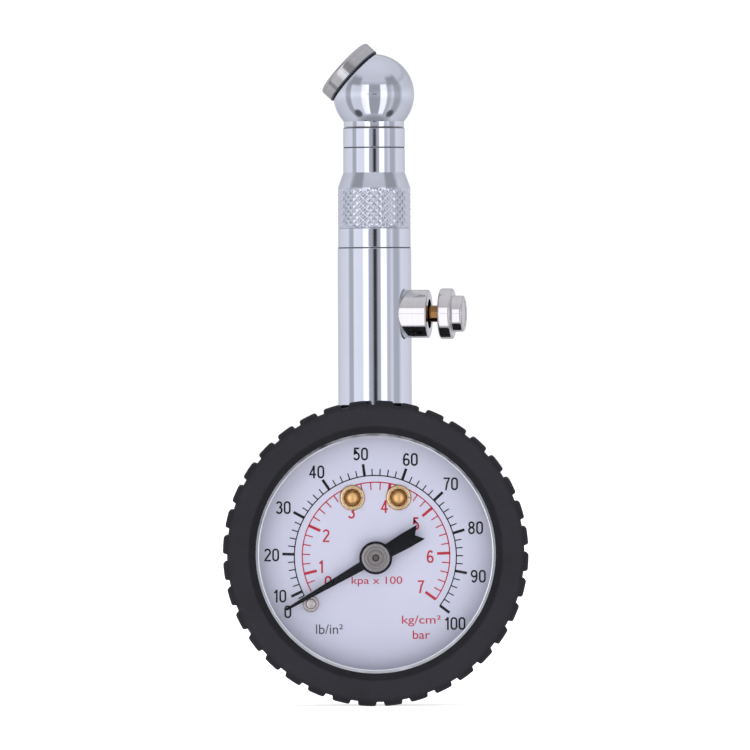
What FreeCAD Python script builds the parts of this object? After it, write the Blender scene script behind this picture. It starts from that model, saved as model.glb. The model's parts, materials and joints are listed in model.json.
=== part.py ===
import FreeCAD, Part
import math
import os

# Dial tyre pressure gauge with an angled swivel chuck, a push-button bleed valve
# and a rubber boot shaped like a tyre tread.
# Millimetres. +Z runs up the stem, the dial faces -Y, and the origin is on the
# stem axis at the boot's lowest point.

V = FreeCAD.Vector

# Driving dimensions ---------------------------------------------------------

# Rubber boot
BOOT_R = 31.0
BOOT_HALF_DEPTH = 13.5
BOOT_CAVITY_R = 26.5
LUG_COUNT = 36
LUG_HEIGHT = 0.85
SHOULDER_ROUND = 1.8
CARCASS_ROUND = 1.4
GROOVE_WIDTH = 1.7
GROOVE_FLOOR_WIDTH = 1.4
FIRST_GROOVE_DEG = 1.5
CENTRE_GROOVE_WIDTH = 2.0
FRONT_LIP_R = 23.95
FRONT_LIP_SLOPE_R = 25.7
REAR_LIP_R = 22.0
BARREL_HOLE_R = 8.0

# The case centre stands one boot radius above the lowest point.
CASE_Z = BOOT_R

# Case, bezel and lens; depths count from the case centre towards the viewer.
CASE_R = 25.7
CASE_WALL = 0.8
CASE_BACK = -12.0
CASE_BACK_WALL = 1.0
CASE_RIM = 8.9
NECK_HOLE_R = 5.0
BEZEL_R = 26.3
BEZEL_SKIRT_R = 25.75
BEZEL_REAR = 7.7
BEZEL_FRONT = 12.0
BEZEL_LIP_R = 23.6
BEZEL_LIP = 0.7
LENS_R = 25.6
LENS_REAR = 9.8
LENS_FRONT = 11.3
GASKET_INNER_R = 23.9

# Dial plate and what is fixed to it
PINION_BELOW_CENTRE = 0.95
DIAL_R = 24.4
DIAL_REAR = 6.1
DIAL_FRONT = 6.6
DIAL_CENTRE_HOLE_R = 1.6
DIAL_SCREW_X = 4.7
DIAL_SCREW_ABOVE_PIVOT = 12.2
DIAL_SCREW_R = 0.9
DIAL_SCREW_HEAD_R = 1.6
DIAL_SCREW_HEAD = 1.1
DIAL_SCREW_LENGTH = 4.5
WASHER_R = 2.6
WASHER_BORE_R = 1.0
WASHER_THICKNESS = 0.5
WASHER_ROUND = 0.4
WASHER_GAP = 0.5
STOP_PIN_X = -13.2
STOP_PIN_BELOW_PIVOT = 9.3
STOP_PIN_R = 0.95
STOP_COLLAR_R = 1.7
STOP_SHANK_R = 0.75
STOP_COLLAR = 0.5
STOP_RIVET_R = 1.3
STOP_RIVET = 0.7
STOP_ABOVE_POINTER = 0.7

# Pointer
POINTER_REST_DEG = 209.8
POINTER_SWEEP_DEG = 247.2
POINTER_REAR = 8.4
POINTER_FRONT = 8.8
POINTER_TIP_R = 21.0
POINTER_DISC_R = 3.35
HUB_SPIGOT_R = 1.2
HUB_FLANGE_R = 2.9
HUB_REAR = 6.9
HUB_FRONT = 9.4

# Movement
PLATE_THICKNESS = 1.0
FRONT_PLATE_REAR = 3.9
BACK_PLATE_FRONT = -0.3
PIVOT_CLEARANCE = 0.05
SHAFT_R = 0.5
SHAFT_FRONT = 9.2
MODULE = 0.25
PINION_TEETH = 10
SECTOR_FULL_TEETH = 80
TOOTH_ABOVE_PITCH = 0.2
TOOTH_BELOW_PITCH = 0.3
TOOTH_ROOT_WIDTH = 0.44
TOOTH_TIP_WIDTH = 0.18
SECTOR_ARBOR_DEG = 202.0
SECTOR_REAR = 1.8
SECTOR_FRONT = 2.6
SECTOR_HUB_R = 1.6
SECTOR_HUB_REAR = 1.2
SECTOR_HUB_FRONT = 3.4
SECTOR_SPARE_TEETH = 1
SECTOR_TAIL = 4.5
SECTOR_TAIL_WIDTH = 1.6
WINDOW_INNER_R = 3.6
WINDOW_OUTER_R = 8.0
WINDOW_INNER_MARGIN_DEG = 10
WINDOW_OUTER_MARGIN_DEG = 5
WINDOW_ROUND = 0.3
PILLARS = [(3.0, -6.4), (-8.5, -10.2)]
TONGUE_SCREWS = [(-3.0, 7.2), (3.0, 7.2)]
PILLAR_R = 1.4
MOVEMENT_SCREW_R = 0.8
MOVEMENT_SCREW_HEAD_R = 1.4
MOVEMENT_SCREW_HEAD = 0.8
MOVEMENT_SCREW_END = -1.7
HAIRSPRING_REAR = 0.5
HAIRSPRING_FRONT = 1.2
HAIRSPRING_INNER_R = 1.15
HAIRSPRING_OUTER_R = 3.6
HAIRSPRING_STRIP = 0.12
HAIRSPRING_TURNS = 4
COLLET_R = 1.0
STUD_R = 0.5

# Link from the Bourdon tube's tip to the sector's tail
LINK_LENGTH = 7.0
LINK_WIDTH = 2.0
LINK_REAR = 2.75
LINK_FRONT = 3.35
LINK_PIN_R = 0.45
LINK_PIN_HEAD_R = 0.8
LINK_PIN_HEAD = 0.3
LINK_PIN_REAR = 1.5
SLOT_CLEARANCE = 0.25

# Bourdon tube: a flattened tube bent to most of a circle
TUBE_R = 19.5
TUBE_HALF_THICKNESS = 0.9
TUBE_HALF_WIDTH = 3.0
TUBE_WALL = 0.2
TUBE_DEPTH = 0.5
TUBE_TIP_DEG = 170.0
TUBE_ROOT_DEG = 73.6
END_CAP_LEFT = 2.0
END_CAP_RIGHT = 1.4
END_CAP_BELOW = 0.9
END_CAP_ABOVE = 2.6
END_CAP_DEPTHS = (-3.1, 4.1)
END_BAR_ABOVE = 0.6
END_ARM_HALF_WIDTH = 1.4
END_ARM_MARGIN = 1.5

# Socket block with its tongue and threaded neck
BLOCK_HALF_WIDTH = 7.0
BLOCK_REAR = -4.5
BLOCK_BOTTOM = 9.5
BLOCK_TOP = 23.6
TONGUE_HALF_WIDTH = 5.0
TONGUE_BOTTOM = 5.2
NECK_R = 4.75
NECK_TOP = 35.6
BLOCK_BORE_R = 1.25
BLOCK_BORE_BOTTOM = 17.9

# Stem: heights count from the case centre.
BARREL_R = 7.5
BARREL_BOTTOM = 25.75
BARREL_SOCKET_TOP = 36.1
BARREL_BORE_R = 3.0
BARREL_TOP = 62.1
SPIGOT_R = 5.5
SPIGOT_SOCKET_BOTTOM = 56.1
SPIGOT_BOTTOM = 56.6
SEAM_CHAMFER = 0.15
UPPER_R = 7.4
KNURL_BOTTOM = 66.15
KNURL_TOP = 74.05
KNURL_RELIEF = 0.15
KNURL_RELIEF_WIDTH = 0.3
NECK_CONE_TOP = 77.3
COLLAR_R = 6.3
UPPER_TOP = 82.5
COLLAR_TOP = 86.5
RING_GROOVE_HEIGHT = 1.3

# Check valve inside the knurled barrel
CHAMBER_R = 3.6
SEAT_TOP = 68.0
SEAT_BOTTOM = 67.0
PASSAGE_R = 1.5
POPPET_R = 2.7
POPPET_BOTTOM = 65.6
POPPET_STEM_R = 1.0
POPPET_STEM_BOTTOM = 58.0
RETAINER_TOP = 59.1
RETAINER_BOTTOM = 57.6
RETAINER_AIR_R = 0.7
RETAINER_AIR_PCR = 2.3
CHECK_SPRING_R = 1.9
CHECK_SPRING_WIRE_R = 0.2
CHECK_SPRING_TURNS = 6

# Swivel
COLLAR_SPIGOT_R = 5.2
COLLAR_SPIGOT_BOTTOM = 79.5
COLLAR_BORE_R = 4.0
CAVITY_BOTTOM = 77.6
STEM_R = 3.95
STEM_FLANGE_R = 4.8
STEM_FLANGE_BOTTOM = 78.2
STEM_FLANGE_TOP = 79.4
STEM_THREAD_R = 3.0
STEM_TOP = 90.3
STEM_BORE_R = 1.3
STEM_GROOVE_BOTTOM = 81.6
STEM_GROOVE_R = 2.85
STEM_RING_R = 0.55

# Ball-shaped chuck head; foot distances count from the ball centre.
BALL_R = 8.25
BALL_CENTRE = 93.2
BALL_NECK_R = 6.15
BALL_NECK_BOTTOM = 86.6
BALL_THREAD_TOP = 90.5
FOOT_TILT_DEG = 47.5
CLOCKING_DEG = 9.0
FOOT_FLAT = 5.2
FOOT_SOCKET_R = 5.4
FOOT_SOCKET_FLOOR = 1.7
FOOT_PASSAGE_R = 1.8
CAP_R = 6.7
CAP_BACK = 5.4
CAP_FACE = 8.4
CAP_ROUND = 0.6
CAP_SKIRT_END = 3.3
MOUTH_R = 4.1
SEAL_R = 5.3
SEAL_BORE_R = 1.7
SEAL_REAR = 1.8
SEAL_FRONT = 3.2
DEPRESSOR_R = 0.7
DEPRESSOR_TIP = 3.0
DEPRESSOR_BASE = (-0.7, 0.3)
DEPRESSOR_FLAT = 1.1

# Bleed valve; distances count along its axis from the barrel axis.
BLEED_HEIGHT = 48.55
BOSS_R = 4.9
BOSS_END = 11.3
BOSS_ROUND = 0.35
BOSS_HOLE_R = 3.0
BOSS_HOLE_FLOOR = 7.7
BOSS_SPIGOT_R = 3.0
BOSS_SPIGOT_END = 3.2
BOSS_PASSAGE_R = 1.0
VALVE_ROD_R = 0.8
VALVE_ROD_HEAD_R = 1.9
VALVE_ROD_HEAD = (1.6, 2.6)
STEM_BODY_R = 1.7
STEM_BODY_REAR = 10.9
STEM_BODY_FRONT = 13.75
STEM_TAIL_R = 1.25
STEM_TAIL_END = 16.8
VALVE_SEAL_R = 1.8
BUTTON_REAR = 13.75
BUTTON_STEP = 16.05
BUTTON_END = 18.2
BUTTON_FLANGE_R = 5.15
BUTTON_TIP_R = 3.68
BUTTON_CHAMFER = 0.45
BLEED_SPRING_R = 1.4
BLEED_SPRING_WIRE_R = 0.2
BLEED_SPRING_TURNS = 2

SAME_POINT = 1e-6


# Drawing helpers -------------------------------------------------------------

def rounded_corner(before, here, after, radius):
    """Start, middle and end of the arc that rounds one corner."""
    back = (before - here).normalize()
    ahead = (after - here).normalize()
    half_angle = back.getAngle(ahead) / 2
    reach = radius / math.tan(half_angle)
    depth = radius / math.sin(half_angle) - radius
    middle = here + (back + ahead).normalize() * depth
    return here + back * reach, middle, here + ahead * reach


def outline(corners):
    """Closed wire in the XY plane. A corner (x, y, r) is rounded by r."""
    points = [V(corner[0], corner[1], 0) for corner in corners]
    bends = []
    for index, corner in enumerate(corners):
        here = points[index]
        if len(corner) == 3:
            after = points[(index + 1) % len(points)]
            bends.append(rounded_corner(points[index - 1], here, after, corner[2]))
        else:
            bends.append((here, None, here))
    edges = []
    for index, (start, middle, end) in enumerate(bends):
        if middle is not None:
            edges.append(Part.Arc(start, middle, end).toShape())
        following = bends[(index + 1) % len(bends)][0]
        if end.distanceToPoint(following) > SAME_POINT:
            edges.append(Part.LineSegment(end, following).toShape())
    return Part.Wire(edges)


def lathe(corners):
    """Solid of revolution about Z from an outline given as (radius, z)."""
    face = Part.Face(outline(corners))
    face.rotate(V(0, 0, 0), V(1, 0, 0), 90)
    return face.revolve(V(0, 0, 0), V(0, 0, 1), 360)


def plate(corners, bottom, top):
    """Flat plate of the given outline between two levels."""
    face = Part.Face(outline(corners))
    face.translate(V(0, 0, bottom))
    return face.extrude(V(0, 0, top - bottom))


def rod(radius, bottom, top, x=0.0, y=0.0):
    """Round bar parallel to Z."""
    return Part.makeCylinder(radius, top - bottom, V(x, y, bottom))


def washer(outer_r, inner_r, bottom, top, x=0.0, y=0.0):
    return rod(outer_r, bottom, top, x, y).cut(rod(inner_r, bottom, top, x, y))


def block(x_range, y_range, z_range):
    corner = V(x_range[0], y_range[0], z_range[0])
    return Part.makeBox(
        x_range[1] - x_range[0], y_range[1] - y_range[0], z_range[1] - z_range[0], corner
    )


def o_ring(centre_r, wire_r, height):
    return Part.makeTorus(centre_r, wire_r, V(0, 0, height))


def coil(centre_r, wire_r, bottom, top, turns):
    """Compression spring standing on Z; its wire stays between two levels."""
    rise = top - bottom - 2 * wire_r
    path = Part.makeHelix(rise / turns, rise, centre_r)
    section = Part.Wire(Part.makeCircle(wire_r, V(centre_r, 0, 0), V(0, 1, 0)))
    spring = Part.Wire(path.Edges).makePipeShell([section], True, True)
    spring.translate(V(0, 0, bottom + wire_r))
    return spring


def polar(radius, degrees, centre=(0.0, 0.0)):
    angle = math.radians(degrees)
    return (centre[0] + radius * math.cos(angle), centre[1] + radius * math.sin(angle))


def one_solid(shape):
    """The single solid that a boolean result holds."""
    clean = shape.removeSplitter()
    assert len(clean.Solids) == 1, "expected one solid"
    return clean.Solids[0]


# Placing helpers --------------------------------------------------------------

def behind_dial(shape):
    """From the dial's plan, x right, y up and z towards the viewer, to the part's frame."""
    shape.rotate(V(0, 0, 0), V(1, 0, 0), 90)
    shape.translate(V(0, 0, CASE_Z))
    return shape


def on_stem(shape):
    shape.translate(V(0, 0, CASE_Z))
    return shape


def beside_barrel(shape):
    """From the bleed valve's own Z axis to its place on the barrel."""
    shape.rotate(V(0, 0, 0), V(0, 1, 0), 90)
    shape.rotate(V(0, 0, 0), V(0, 0, 1), -CLOCKING_DEG)
    shape.translate(V(0, 0, CASE_Z + BLEED_HEIGHT))
    return shape


def on_foot(shape):
    """From the foot's own Z axis to its tilted place on the ball."""
    shape.rotate(V(0, 0, 0), V(0, 1, 0), -FOOT_TILT_DEG)
    shape.rotate(V(0, 0, 0), V(0, 0, 1), -CLOCKING_DEG)
    shape.translate(V(0, 0, CASE_Z + BALL_CENTRE))
    return shape


# Pivot places in the dial's plan ----------------------------------------------

PINION_PITCH_R = MODULE * PINION_TEETH / 2
SECTOR_PITCH_R = MODULE * SECTOR_FULL_TEETH / 2
SECTOR_SWING_DEG = POINTER_SWEEP_DEG * PINION_TEETH / SECTOR_FULL_TEETH
PINION_AXIS = (0.0, -PINION_BELOW_CENTRE)
SECTOR_AXIS = polar(PINION_PITCH_R + SECTOR_PITCH_R, SECTOR_ARBOR_DEG, PINION_AXIS)
MESH_DEG = SECTOR_ARBOR_DEG - 180
TAIL_DEG = 180 - SECTOR_SWING_DEG / 2
TAIL_PIVOT = polar(SECTOR_TAIL, TAIL_DEG, SECTOR_AXIS)
TAIL_DROP = 2 * SECTOR_TAIL * math.sin(math.radians(SECTOR_SWING_DEG / 2))
TIP_PIVOT = (TAIL_PIVOT[0], TAIL_PIVOT[1] + LINK_LENGTH)
DIAL_SCREW_PLACES = [
    (side * DIAL_SCREW_X, DIAL_SCREW_ABOVE_PIVOT - PINION_BELOW_CENTRE) for side in (-1, 1)
]
STOP_PIN_PLACE = (STOP_PIN_X, -PINION_BELOW_CENTRE - STOP_PIN_BELOW_PIVOT)
MOVEMENT_SCREW_PLACES = TONGUE_SCREWS + PILLARS
BACK_PLATE_REAR = BACK_PLATE_FRONT - PLATE_THICKNESS
FRONT_PLATE_FRONT = FRONT_PLATE_REAR + PLATE_THICKNESS


# Boot, case and lens ------------------------------------------------------------

def boot_body(outer_r, corner_round):
    """The boot's ring with its cavity and lips, to a given tread radius."""
    cavity_front = BEZEL_FRONT + 0.1
    cavity_rear = CASE_BACK - 0.1
    return lathe([
        (FRONT_LIP_SLOPE_R, BOOT_HALF_DEPTH, 0.3),
        (outer_r, BOOT_HALF_DEPTH, corner_round),
        (outer_r, -BOOT_HALF_DEPTH, corner_round),
        (REAR_LIP_R, -BOOT_HALF_DEPTH, 0.4),
        (REAR_LIP_R, cavity_rear),
        (BOOT_CAVITY_R, cavity_rear),
        (BOOT_CAVITY_R, cavity_front),
        (FRONT_LIP_R, cavity_front),
    ])


def boot():
    floor_r = BOOT_R - LUG_HEIGHT
    inner = floor_r - SHOULDER_ROUND
    outer = BOOT_R + 1
    groove = plate([
        (inner, -GROOVE_FLOOR_WIDTH / 2),
        (floor_r, -GROOVE_FLOOR_WIDTH / 2),
        (outer, -GROOVE_WIDTH / 2),
        (outer, GROOVE_WIDTH / 2),
        (floor_r, GROOVE_FLOOR_WIDTH / 2),
        (inner, GROOVE_FLOOR_WIDTH / 2),
    ], -BOOT_HALF_DEPTH - 1, BOOT_HALF_DEPTH + 1)
    grooves = []
    for lug in range(LUG_COUNT):
        turned = groove.copy()
        turned.rotate(V(0, 0, 0), V(0, 0, 1), FIRST_GROOVE_DEG + lug * 360 / LUG_COUNT)
        grooves.append(turned)
    grooves.append(washer(outer, inner, -CENTRE_GROOVE_WIDTH / 2, CENTRE_GROOVE_WIDTH / 2))
    carcass = boot_body(floor_r, CARCASS_ROUND)
    tread = boot_body(BOOT_R, SHOULDER_ROUND).cut(Part.makeCompound(grooves))
    barrel_hole = Part.makeCylinder(BARREL_HOLE_R, BOOT_R, V(0, REAR_LIP_R, 0), V(0, 1, 0))
    return behind_dial(one_solid(carcass.fuse(tread).cut(barrel_hole)))


def case():
    inner_r = CASE_R - CASE_WALL
    inner_back = CASE_BACK + CASE_BACK_WALL
    cup = lathe([
        (0, CASE_BACK),
        (CASE_R, CASE_BACK, 1.2),
        (CASE_R, CASE_RIM),
        (inner_r, CASE_RIM),
        (inner_r, inner_back, 0.5),
        (0, inner_back),
    ])
    neck_hole = Part.makeCylinder(NECK_HOLE_R, CASE_R, V(0, BLOCK_TOP, 0), V(0, 1, 0))
    return behind_dial(one_solid(cup.cut(neck_hole)))


def bezel_ring():
    return behind_dial(lathe([
        (BEZEL_SKIRT_R, BEZEL_REAR),
        (BEZEL_R, BEZEL_REAR),
        (BEZEL_R, BEZEL_FRONT, 0.5),
        (BEZEL_LIP_R, BEZEL_FRONT, 0.25),
        (BEZEL_LIP_R, BEZEL_FRONT - BEZEL_LIP),
        (BEZEL_SKIRT_R, BEZEL_FRONT - BEZEL_LIP),
    ]))


def lens():
    return behind_dial(rod(LENS_R, LENS_REAR, LENS_FRONT))


def lens_gasket():
    return behind_dial(washer(CASE_R, GASKET_INNER_R, CASE_RIM, LENS_REAR))


# Dial and pointer -----------------------------------------------------------------

def dial_plate():
    disc = rod(DIAL_R, DIAL_REAR, DIAL_FRONT)
    disc = disc.cut(rod(DIAL_CENTRE_HOLE_R, DIAL_REAR, DIAL_FRONT, *PINION_AXIS))
    for place in DIAL_SCREW_PLACES:
        disc = disc.cut(rod(WASHER_BORE_R, DIAL_REAR, DIAL_FRONT, *place))
    return behind_dial(disc.cut(rod(STOP_SHANK_R, DIAL_REAR, DIAL_FRONT, *STOP_PIN_PLACE)))


def dial_screws():
    seat = DIAL_FRONT + WASHER_THICKNESS
    screw = lathe([
        (0, seat - DIAL_SCREW_LENGTH),
        (DIAL_SCREW_R, seat - DIAL_SCREW_LENGTH),
        (DIAL_SCREW_R, seat),
        (DIAL_SCREW_HEAD_R, seat),
        (DIAL_SCREW_HEAD_R, seat + DIAL_SCREW_HEAD, 0.95 * DIAL_SCREW_HEAD),
        (0, seat + DIAL_SCREW_HEAD),
    ])
    return behind_dial(copies(screw, DIAL_SCREW_PLACES))


def copies(shape, places):
    """One separate copy of a shape at each place in the dial's plan."""
    group = []
    for place in places:
        moved = shape.copy()
        moved.translate(V(place[0], place[1], 0))
        group.append(moved)
    return Part.makeCompound(group)


def dial_screw_washers():
    top = DIAL_FRONT + WASHER_THICKNESS
    ring = lathe([
        (WASHER_BORE_R, DIAL_FRONT),
        (WASHER_R, DIAL_FRONT),
        (WASHER_R, top, WASHER_ROUND),
        (WASHER_BORE_R, top),
    ])
    gap = block((0, WASHER_R), (-WASHER_GAP / 2, WASHER_GAP / 2), (DIAL_FRONT, top))
    return behind_dial(copies(ring.cut(gap), DIAL_SCREW_PLACES))


def zero_stop_pin():
    rivet_rear = DIAL_REAR - STOP_RIVET
    collar_front = DIAL_FRONT + STOP_COLLAR
    pin_front = POINTER_FRONT + STOP_ABOVE_POINTER
    pin = lathe([
        (0, rivet_rear),
        (STOP_RIVET_R, rivet_rear, 0.3),
        (STOP_RIVET_R, DIAL_REAR),
        (STOP_SHANK_R, DIAL_REAR),
        (STOP_SHANK_R, DIAL_FRONT),
        (STOP_COLLAR_R, DIAL_FRONT),
        (STOP_COLLAR_R, collar_front, 0.2),
        (STOP_PIN_R, collar_front),
        (STOP_PIN_R, pin_front, 0.3),
        (0, pin_front),
    ])
    return behind_dial(copies(pin, [STOP_PIN_PLACE]).Solids[0])


def turned_about_pinion(shape, degrees=0.0):
    """A shape drawn about the origin, turned and carried to the pinion axis."""
    shape.rotate(V(0, 0, 0), V(0, 0, 1), degrees)
    shape.translate(V(PINION_AXIS[0], PINION_AXIS[1], 0))
    return shape


def pointer():
    upper_edge = [(POINTER_TIP_R, 0.25), (0, 1.05), (-3.0, 1.43), (-7.0, 1.65), (-10.6, 1.65)]
    notch = [(-9.2, 0)]
    lower_edge = [(x, -y) for x, y in reversed(upper_edge)]
    blade = plate(upper_edge + notch + lower_edge, POINTER_REAR, POINTER_FRONT)
    disc = rod(POINTER_DISC_R, POINTER_REAR, POINTER_FRONT)
    hole = rod(HUB_SPIGOT_R, POINTER_REAR, POINTER_FRONT)
    shape = one_solid(blade.fuse(disc).cut(hole))
    return behind_dial(turned_about_pinion(shape, POINTER_REST_DEG))


def pointer_hub():
    shape = lathe([
        (SHAFT_R, HUB_REAR),
        (HUB_SPIGOT_R, HUB_REAR),
        (HUB_SPIGOT_R, POINTER_FRONT),
        (HUB_FLANGE_R, POINTER_FRONT),
        (HUB_FLANGE_R, HUB_FRONT, 0.35),
        (SHAFT_R + 0.2, HUB_FRONT),
        (SHAFT_R, HUB_FRONT - 0.3),
    ])
    return behind_dial(turned_about_pinion(shape))


# Movement ---------------------------------------------------------------------------

def tooth(pitch_r, middle_deg):
    """Four corners of one straight-flanked tooth, in order of rising angle."""
    root_r = pitch_r - TOOTH_BELOW_PITCH
    tip_r = pitch_r + TOOTH_ABOVE_PITCH
    root_half = math.degrees(TOOTH_ROOT_WIDTH / 2 / root_r)
    tip_half = math.degrees(TOOTH_TIP_WIDTH / 2 / tip_r)
    return [
        polar(root_r, middle_deg - root_half),
        polar(tip_r, middle_deg - tip_half),
        polar(tip_r, middle_deg + tip_half),
        polar(root_r, middle_deg + root_half),
    ]


def pinion_shaft():
    """Pinion, collet and arbor in one turned piece; a tooth faces the sector."""
    corners = []
    for index in range(PINION_TEETH):
        corners += tooth(PINION_PITCH_R, SECTOR_ARBOR_DEG + index * 360 / PINION_TEETH)
    pinion = plate(corners, SECTOR_REAR - 0.2, SECTOR_FRONT + 0.2)
    arbor = rod(SHAFT_R, BACK_PLATE_REAR, SHAFT_FRONT)
    collet = rod(COLLET_R, HAIRSPRING_REAR, HAIRSPRING_FRONT)
    return behind_dial(turned_about_pinion(one_solid(arbor.fuse([pinion, collet]))))


def hairspring():
    """Flat spiral of thin strip round the collet, ending at the stud."""
    steps = 16 * HAIRSPRING_TURNS
    sides = []
    for offset in (-HAIRSPRING_STRIP / 2, HAIRSPRING_STRIP / 2):
        points = []
        for step in range(steps + 1):
            share = step / steps
            radius = HAIRSPRING_INNER_R + share * (HAIRSPRING_OUTER_R - HAIRSPRING_INNER_R)
            x, y = polar(radius + offset, share * HAIRSPRING_TURNS * 360)
            points.append(V(x, y, HAIRSPRING_REAR))
        curve = Part.BSplineCurve()
        curve.interpolate(points)
        sides.append(curve.toShape())
    inner, outer = sides
    ends = [
        Part.LineSegment(inner.Vertexes[index].Point, outer.Vertexes[index].Point).toShape()
        for index in (0, 1)
    ]
    strip = Part.Face(Part.Wire(Part.__sortEdges__([inner, ends[1], outer, ends[0]])))
    spiral = strip.extrude(V(0, 0, HAIRSPRING_FRONT - HAIRSPRING_REAR))
    return behind_dial(turned_about_pinion(spiral))


def movement_plate(rear, front):
    shape = plate([
        (-13.0, -3.0, 1.5),
        (-10.5, -12.2, 1.5),
        (5.0, -8.8, 1.5),
        (5.0, 9.3, 1.0),
        (-5.0, 9.3, 1.0),
    ], rear, front)
    for axis in (PINION_AXIS, SECTOR_AXIS):
        shape = shape.cut(rod(SHAFT_R + PIVOT_CLEARANCE, rear, front, *axis))
    for place in MOVEMENT_SCREW_PLACES:
        shape = shape.cut(rod(MOVEMENT_SCREW_R, rear, front, *place))
    return shape


def movement_front_plate():
    return behind_dial(movement_plate(FRONT_PLATE_REAR, FRONT_PLATE_FRONT))


def movement_back_plate():
    """Back plate with the stud that anchors the hairspring's outer end."""
    stud_r = HAIRSPRING_OUTER_R + HAIRSPRING_STRIP / 2 + STUD_R
    stud = rod(STUD_R, BACK_PLATE_REAR, HAIRSPRING_FRONT, *polar(stud_r, 0, PINION_AXIS))
    return behind_dial(one_solid(movement_plate(BACK_PLATE_REAR, BACK_PLATE_FRONT).fuse(stud)))


def movement_pillars():
    pillar = washer(PILLAR_R, MOVEMENT_SCREW_R, BACK_PLATE_FRONT, FRONT_PLATE_REAR)
    return behind_dial(copies(pillar, PILLARS))


def movement_screws():
    head_front = FRONT_PLATE_FRONT + MOVEMENT_SCREW_HEAD
    screw = lathe([
        (0, MOVEMENT_SCREW_END),
        (MOVEMENT_SCREW_R, MOVEMENT_SCREW_END),
        (MOVEMENT_SCREW_R, FRONT_PLATE_FRONT),
        (MOVEMENT_SCREW_HEAD_R, FRONT_PLATE_FRONT),
        (MOVEMENT_SCREW_HEAD_R, head_front, 0.3),
        (0, head_front),
    ])
    slot = block((-2, 2), (-0.2, 0.2), (head_front - 0.35, head_front))
    return behind_dial(copies(screw.cut(slot), MOVEMENT_SCREW_PLACES))


def sector_gear():
    """Toothed sector; a tooth gap faces the pinion, and the tail drives it."""
    pitch_deg = 360 / SECTOR_FULL_TEETH
    swing_teeth = math.ceil(SECTOR_SWING_DEG / pitch_deg) + SECTOR_SPARE_TEETH
    lowest_deg = MESH_DEG - (swing_teeth + 0.5) * pitch_deg
    tooth_count = swing_teeth + 1 + SECTOR_SPARE_TEETH
    corners = [(0.0, 0.0)]
    for index in range(tooth_count):
        corners += tooth(SECTOR_PITCH_R, lowest_deg + index * pitch_deg)
    fan = plate(corners, SECTOR_REAR, SECTOR_FRONT)
    highest_deg = lowest_deg + (tooth_count - 1) * pitch_deg
    window = plate([
        polar(WINDOW_INNER_R, lowest_deg + WINDOW_INNER_MARGIN_DEG) + (WINDOW_ROUND,),
        polar(WINDOW_OUTER_R, lowest_deg + WINDOW_OUTER_MARGIN_DEG) + (WINDOW_ROUND,),
        polar(WINDOW_OUTER_R, (lowest_deg + highest_deg) / 2),
        polar(WINDOW_OUTER_R, highest_deg - WINDOW_OUTER_MARGIN_DEG) + (WINDOW_ROUND,),
        polar(WINDOW_INNER_R, highest_deg - WINDOW_INNER_MARGIN_DEG) + (WINDOW_ROUND,),
    ], SECTOR_REAR, SECTOR_FRONT)
    hub = rod(SECTOR_HUB_R, SECTOR_HUB_REAR, SECTOR_HUB_FRONT)
    half = SECTOR_TAIL_WIDTH / 2
    tail = block((0, SECTOR_TAIL), (-half, half), (SECTOR_REAR, SECTOR_FRONT))
    tail = tail.fuse(rod(half + 0.3, SECTOR_REAR, SECTOR_FRONT, SECTOR_TAIL))
    tail_hole = rod(LINK_PIN_R + PIVOT_CLEARANCE, SECTOR_REAR, SECTOR_FRONT, SECTOR_TAIL)
    tail = tail.cut(tail_hole)
    tail.rotate(V(0, 0, 0), V(0, 0, 1), TAIL_DEG)
    shape = fan.cut(window).fuse([hub, tail]).cut(rod(SHAFT_R, SECTOR_HUB_REAR, SECTOR_HUB_FRONT))
    shape = one_solid(shape)
    shape.translate(V(SECTOR_AXIS[0], SECTOR_AXIS[1], 0))
    return behind_dial(shape)


def sector_arbor():
    return behind_dial(rod(SHAFT_R, BACK_PLATE_REAR, FRONT_PLATE_FRONT, *SECTOR_AXIS))


def link():
    half = LINK_WIDTH / 2
    x, low = TAIL_PIVOT
    high = TIP_PIVOT[1]
    strip = plate([
        (x - half, low - half, half * 0.98),
        (x + half, low - half, half * 0.98),
        (x + half, high + half, half * 0.98),
        (x - half, high + half, half * 0.98),
    ], LINK_REAR, LINK_FRONT)
    for place in (TAIL_PIVOT, TIP_PIVOT):
        strip = strip.cut(rod(LINK_PIN_R, LINK_REAR, LINK_FRONT, *place))
    return behind_dial(strip)


def link_pins():
    pin = rod(LINK_PIN_R, LINK_PIN_REAR, LINK_FRONT)
    head = rod(LINK_PIN_HEAD_R, LINK_FRONT, LINK_FRONT + LINK_PIN_HEAD)
    return behind_dial(copies(one_solid(pin.fuse(head)), [TAIL_PIVOT, TIP_PIVOT]))


# Bourdon tube and socket block ---------------------------------------------------------

def tube_arc(half_thickness, half_width, from_deg, to_deg):
    """Slot-shaped section carried round the case axis between two angles."""
    near = TUBE_R - half_thickness
    far = TUBE_R + half_thickness
    rear = TUBE_DEPTH - half_width
    front = TUBE_DEPTH + half_width
    corner = 0.98 * half_thickness
    face = Part.Face(outline([
        (near, rear, corner), (far, rear, corner), (far, front, corner), (near, front, corner),
    ]))
    face.rotate(V(0, 0, 0), V(1, 0, 0), 90)
    face.rotate(V(0, 0, 0), V(0, 0, 1), from_deg)
    return face.revolve(V(0, 0, 0), V(0, 0, 1), to_deg - from_deg)


def tube_outside():
    return tube_arc(TUBE_HALF_THICKNESS, TUBE_HALF_WIDTH, TUBE_TIP_DEG, TUBE_ROOT_DEG + 360)


def bourdon_tube():
    inside = tube_arc(
        TUBE_HALF_THICKNESS - TUBE_WALL, TUBE_HALF_WIDTH - TUBE_WALL,
        TUBE_TIP_DEG, TUBE_ROOT_DEG + 360,
    )
    return behind_dial(one_solid(tube_outside().cut(inside)))


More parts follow.
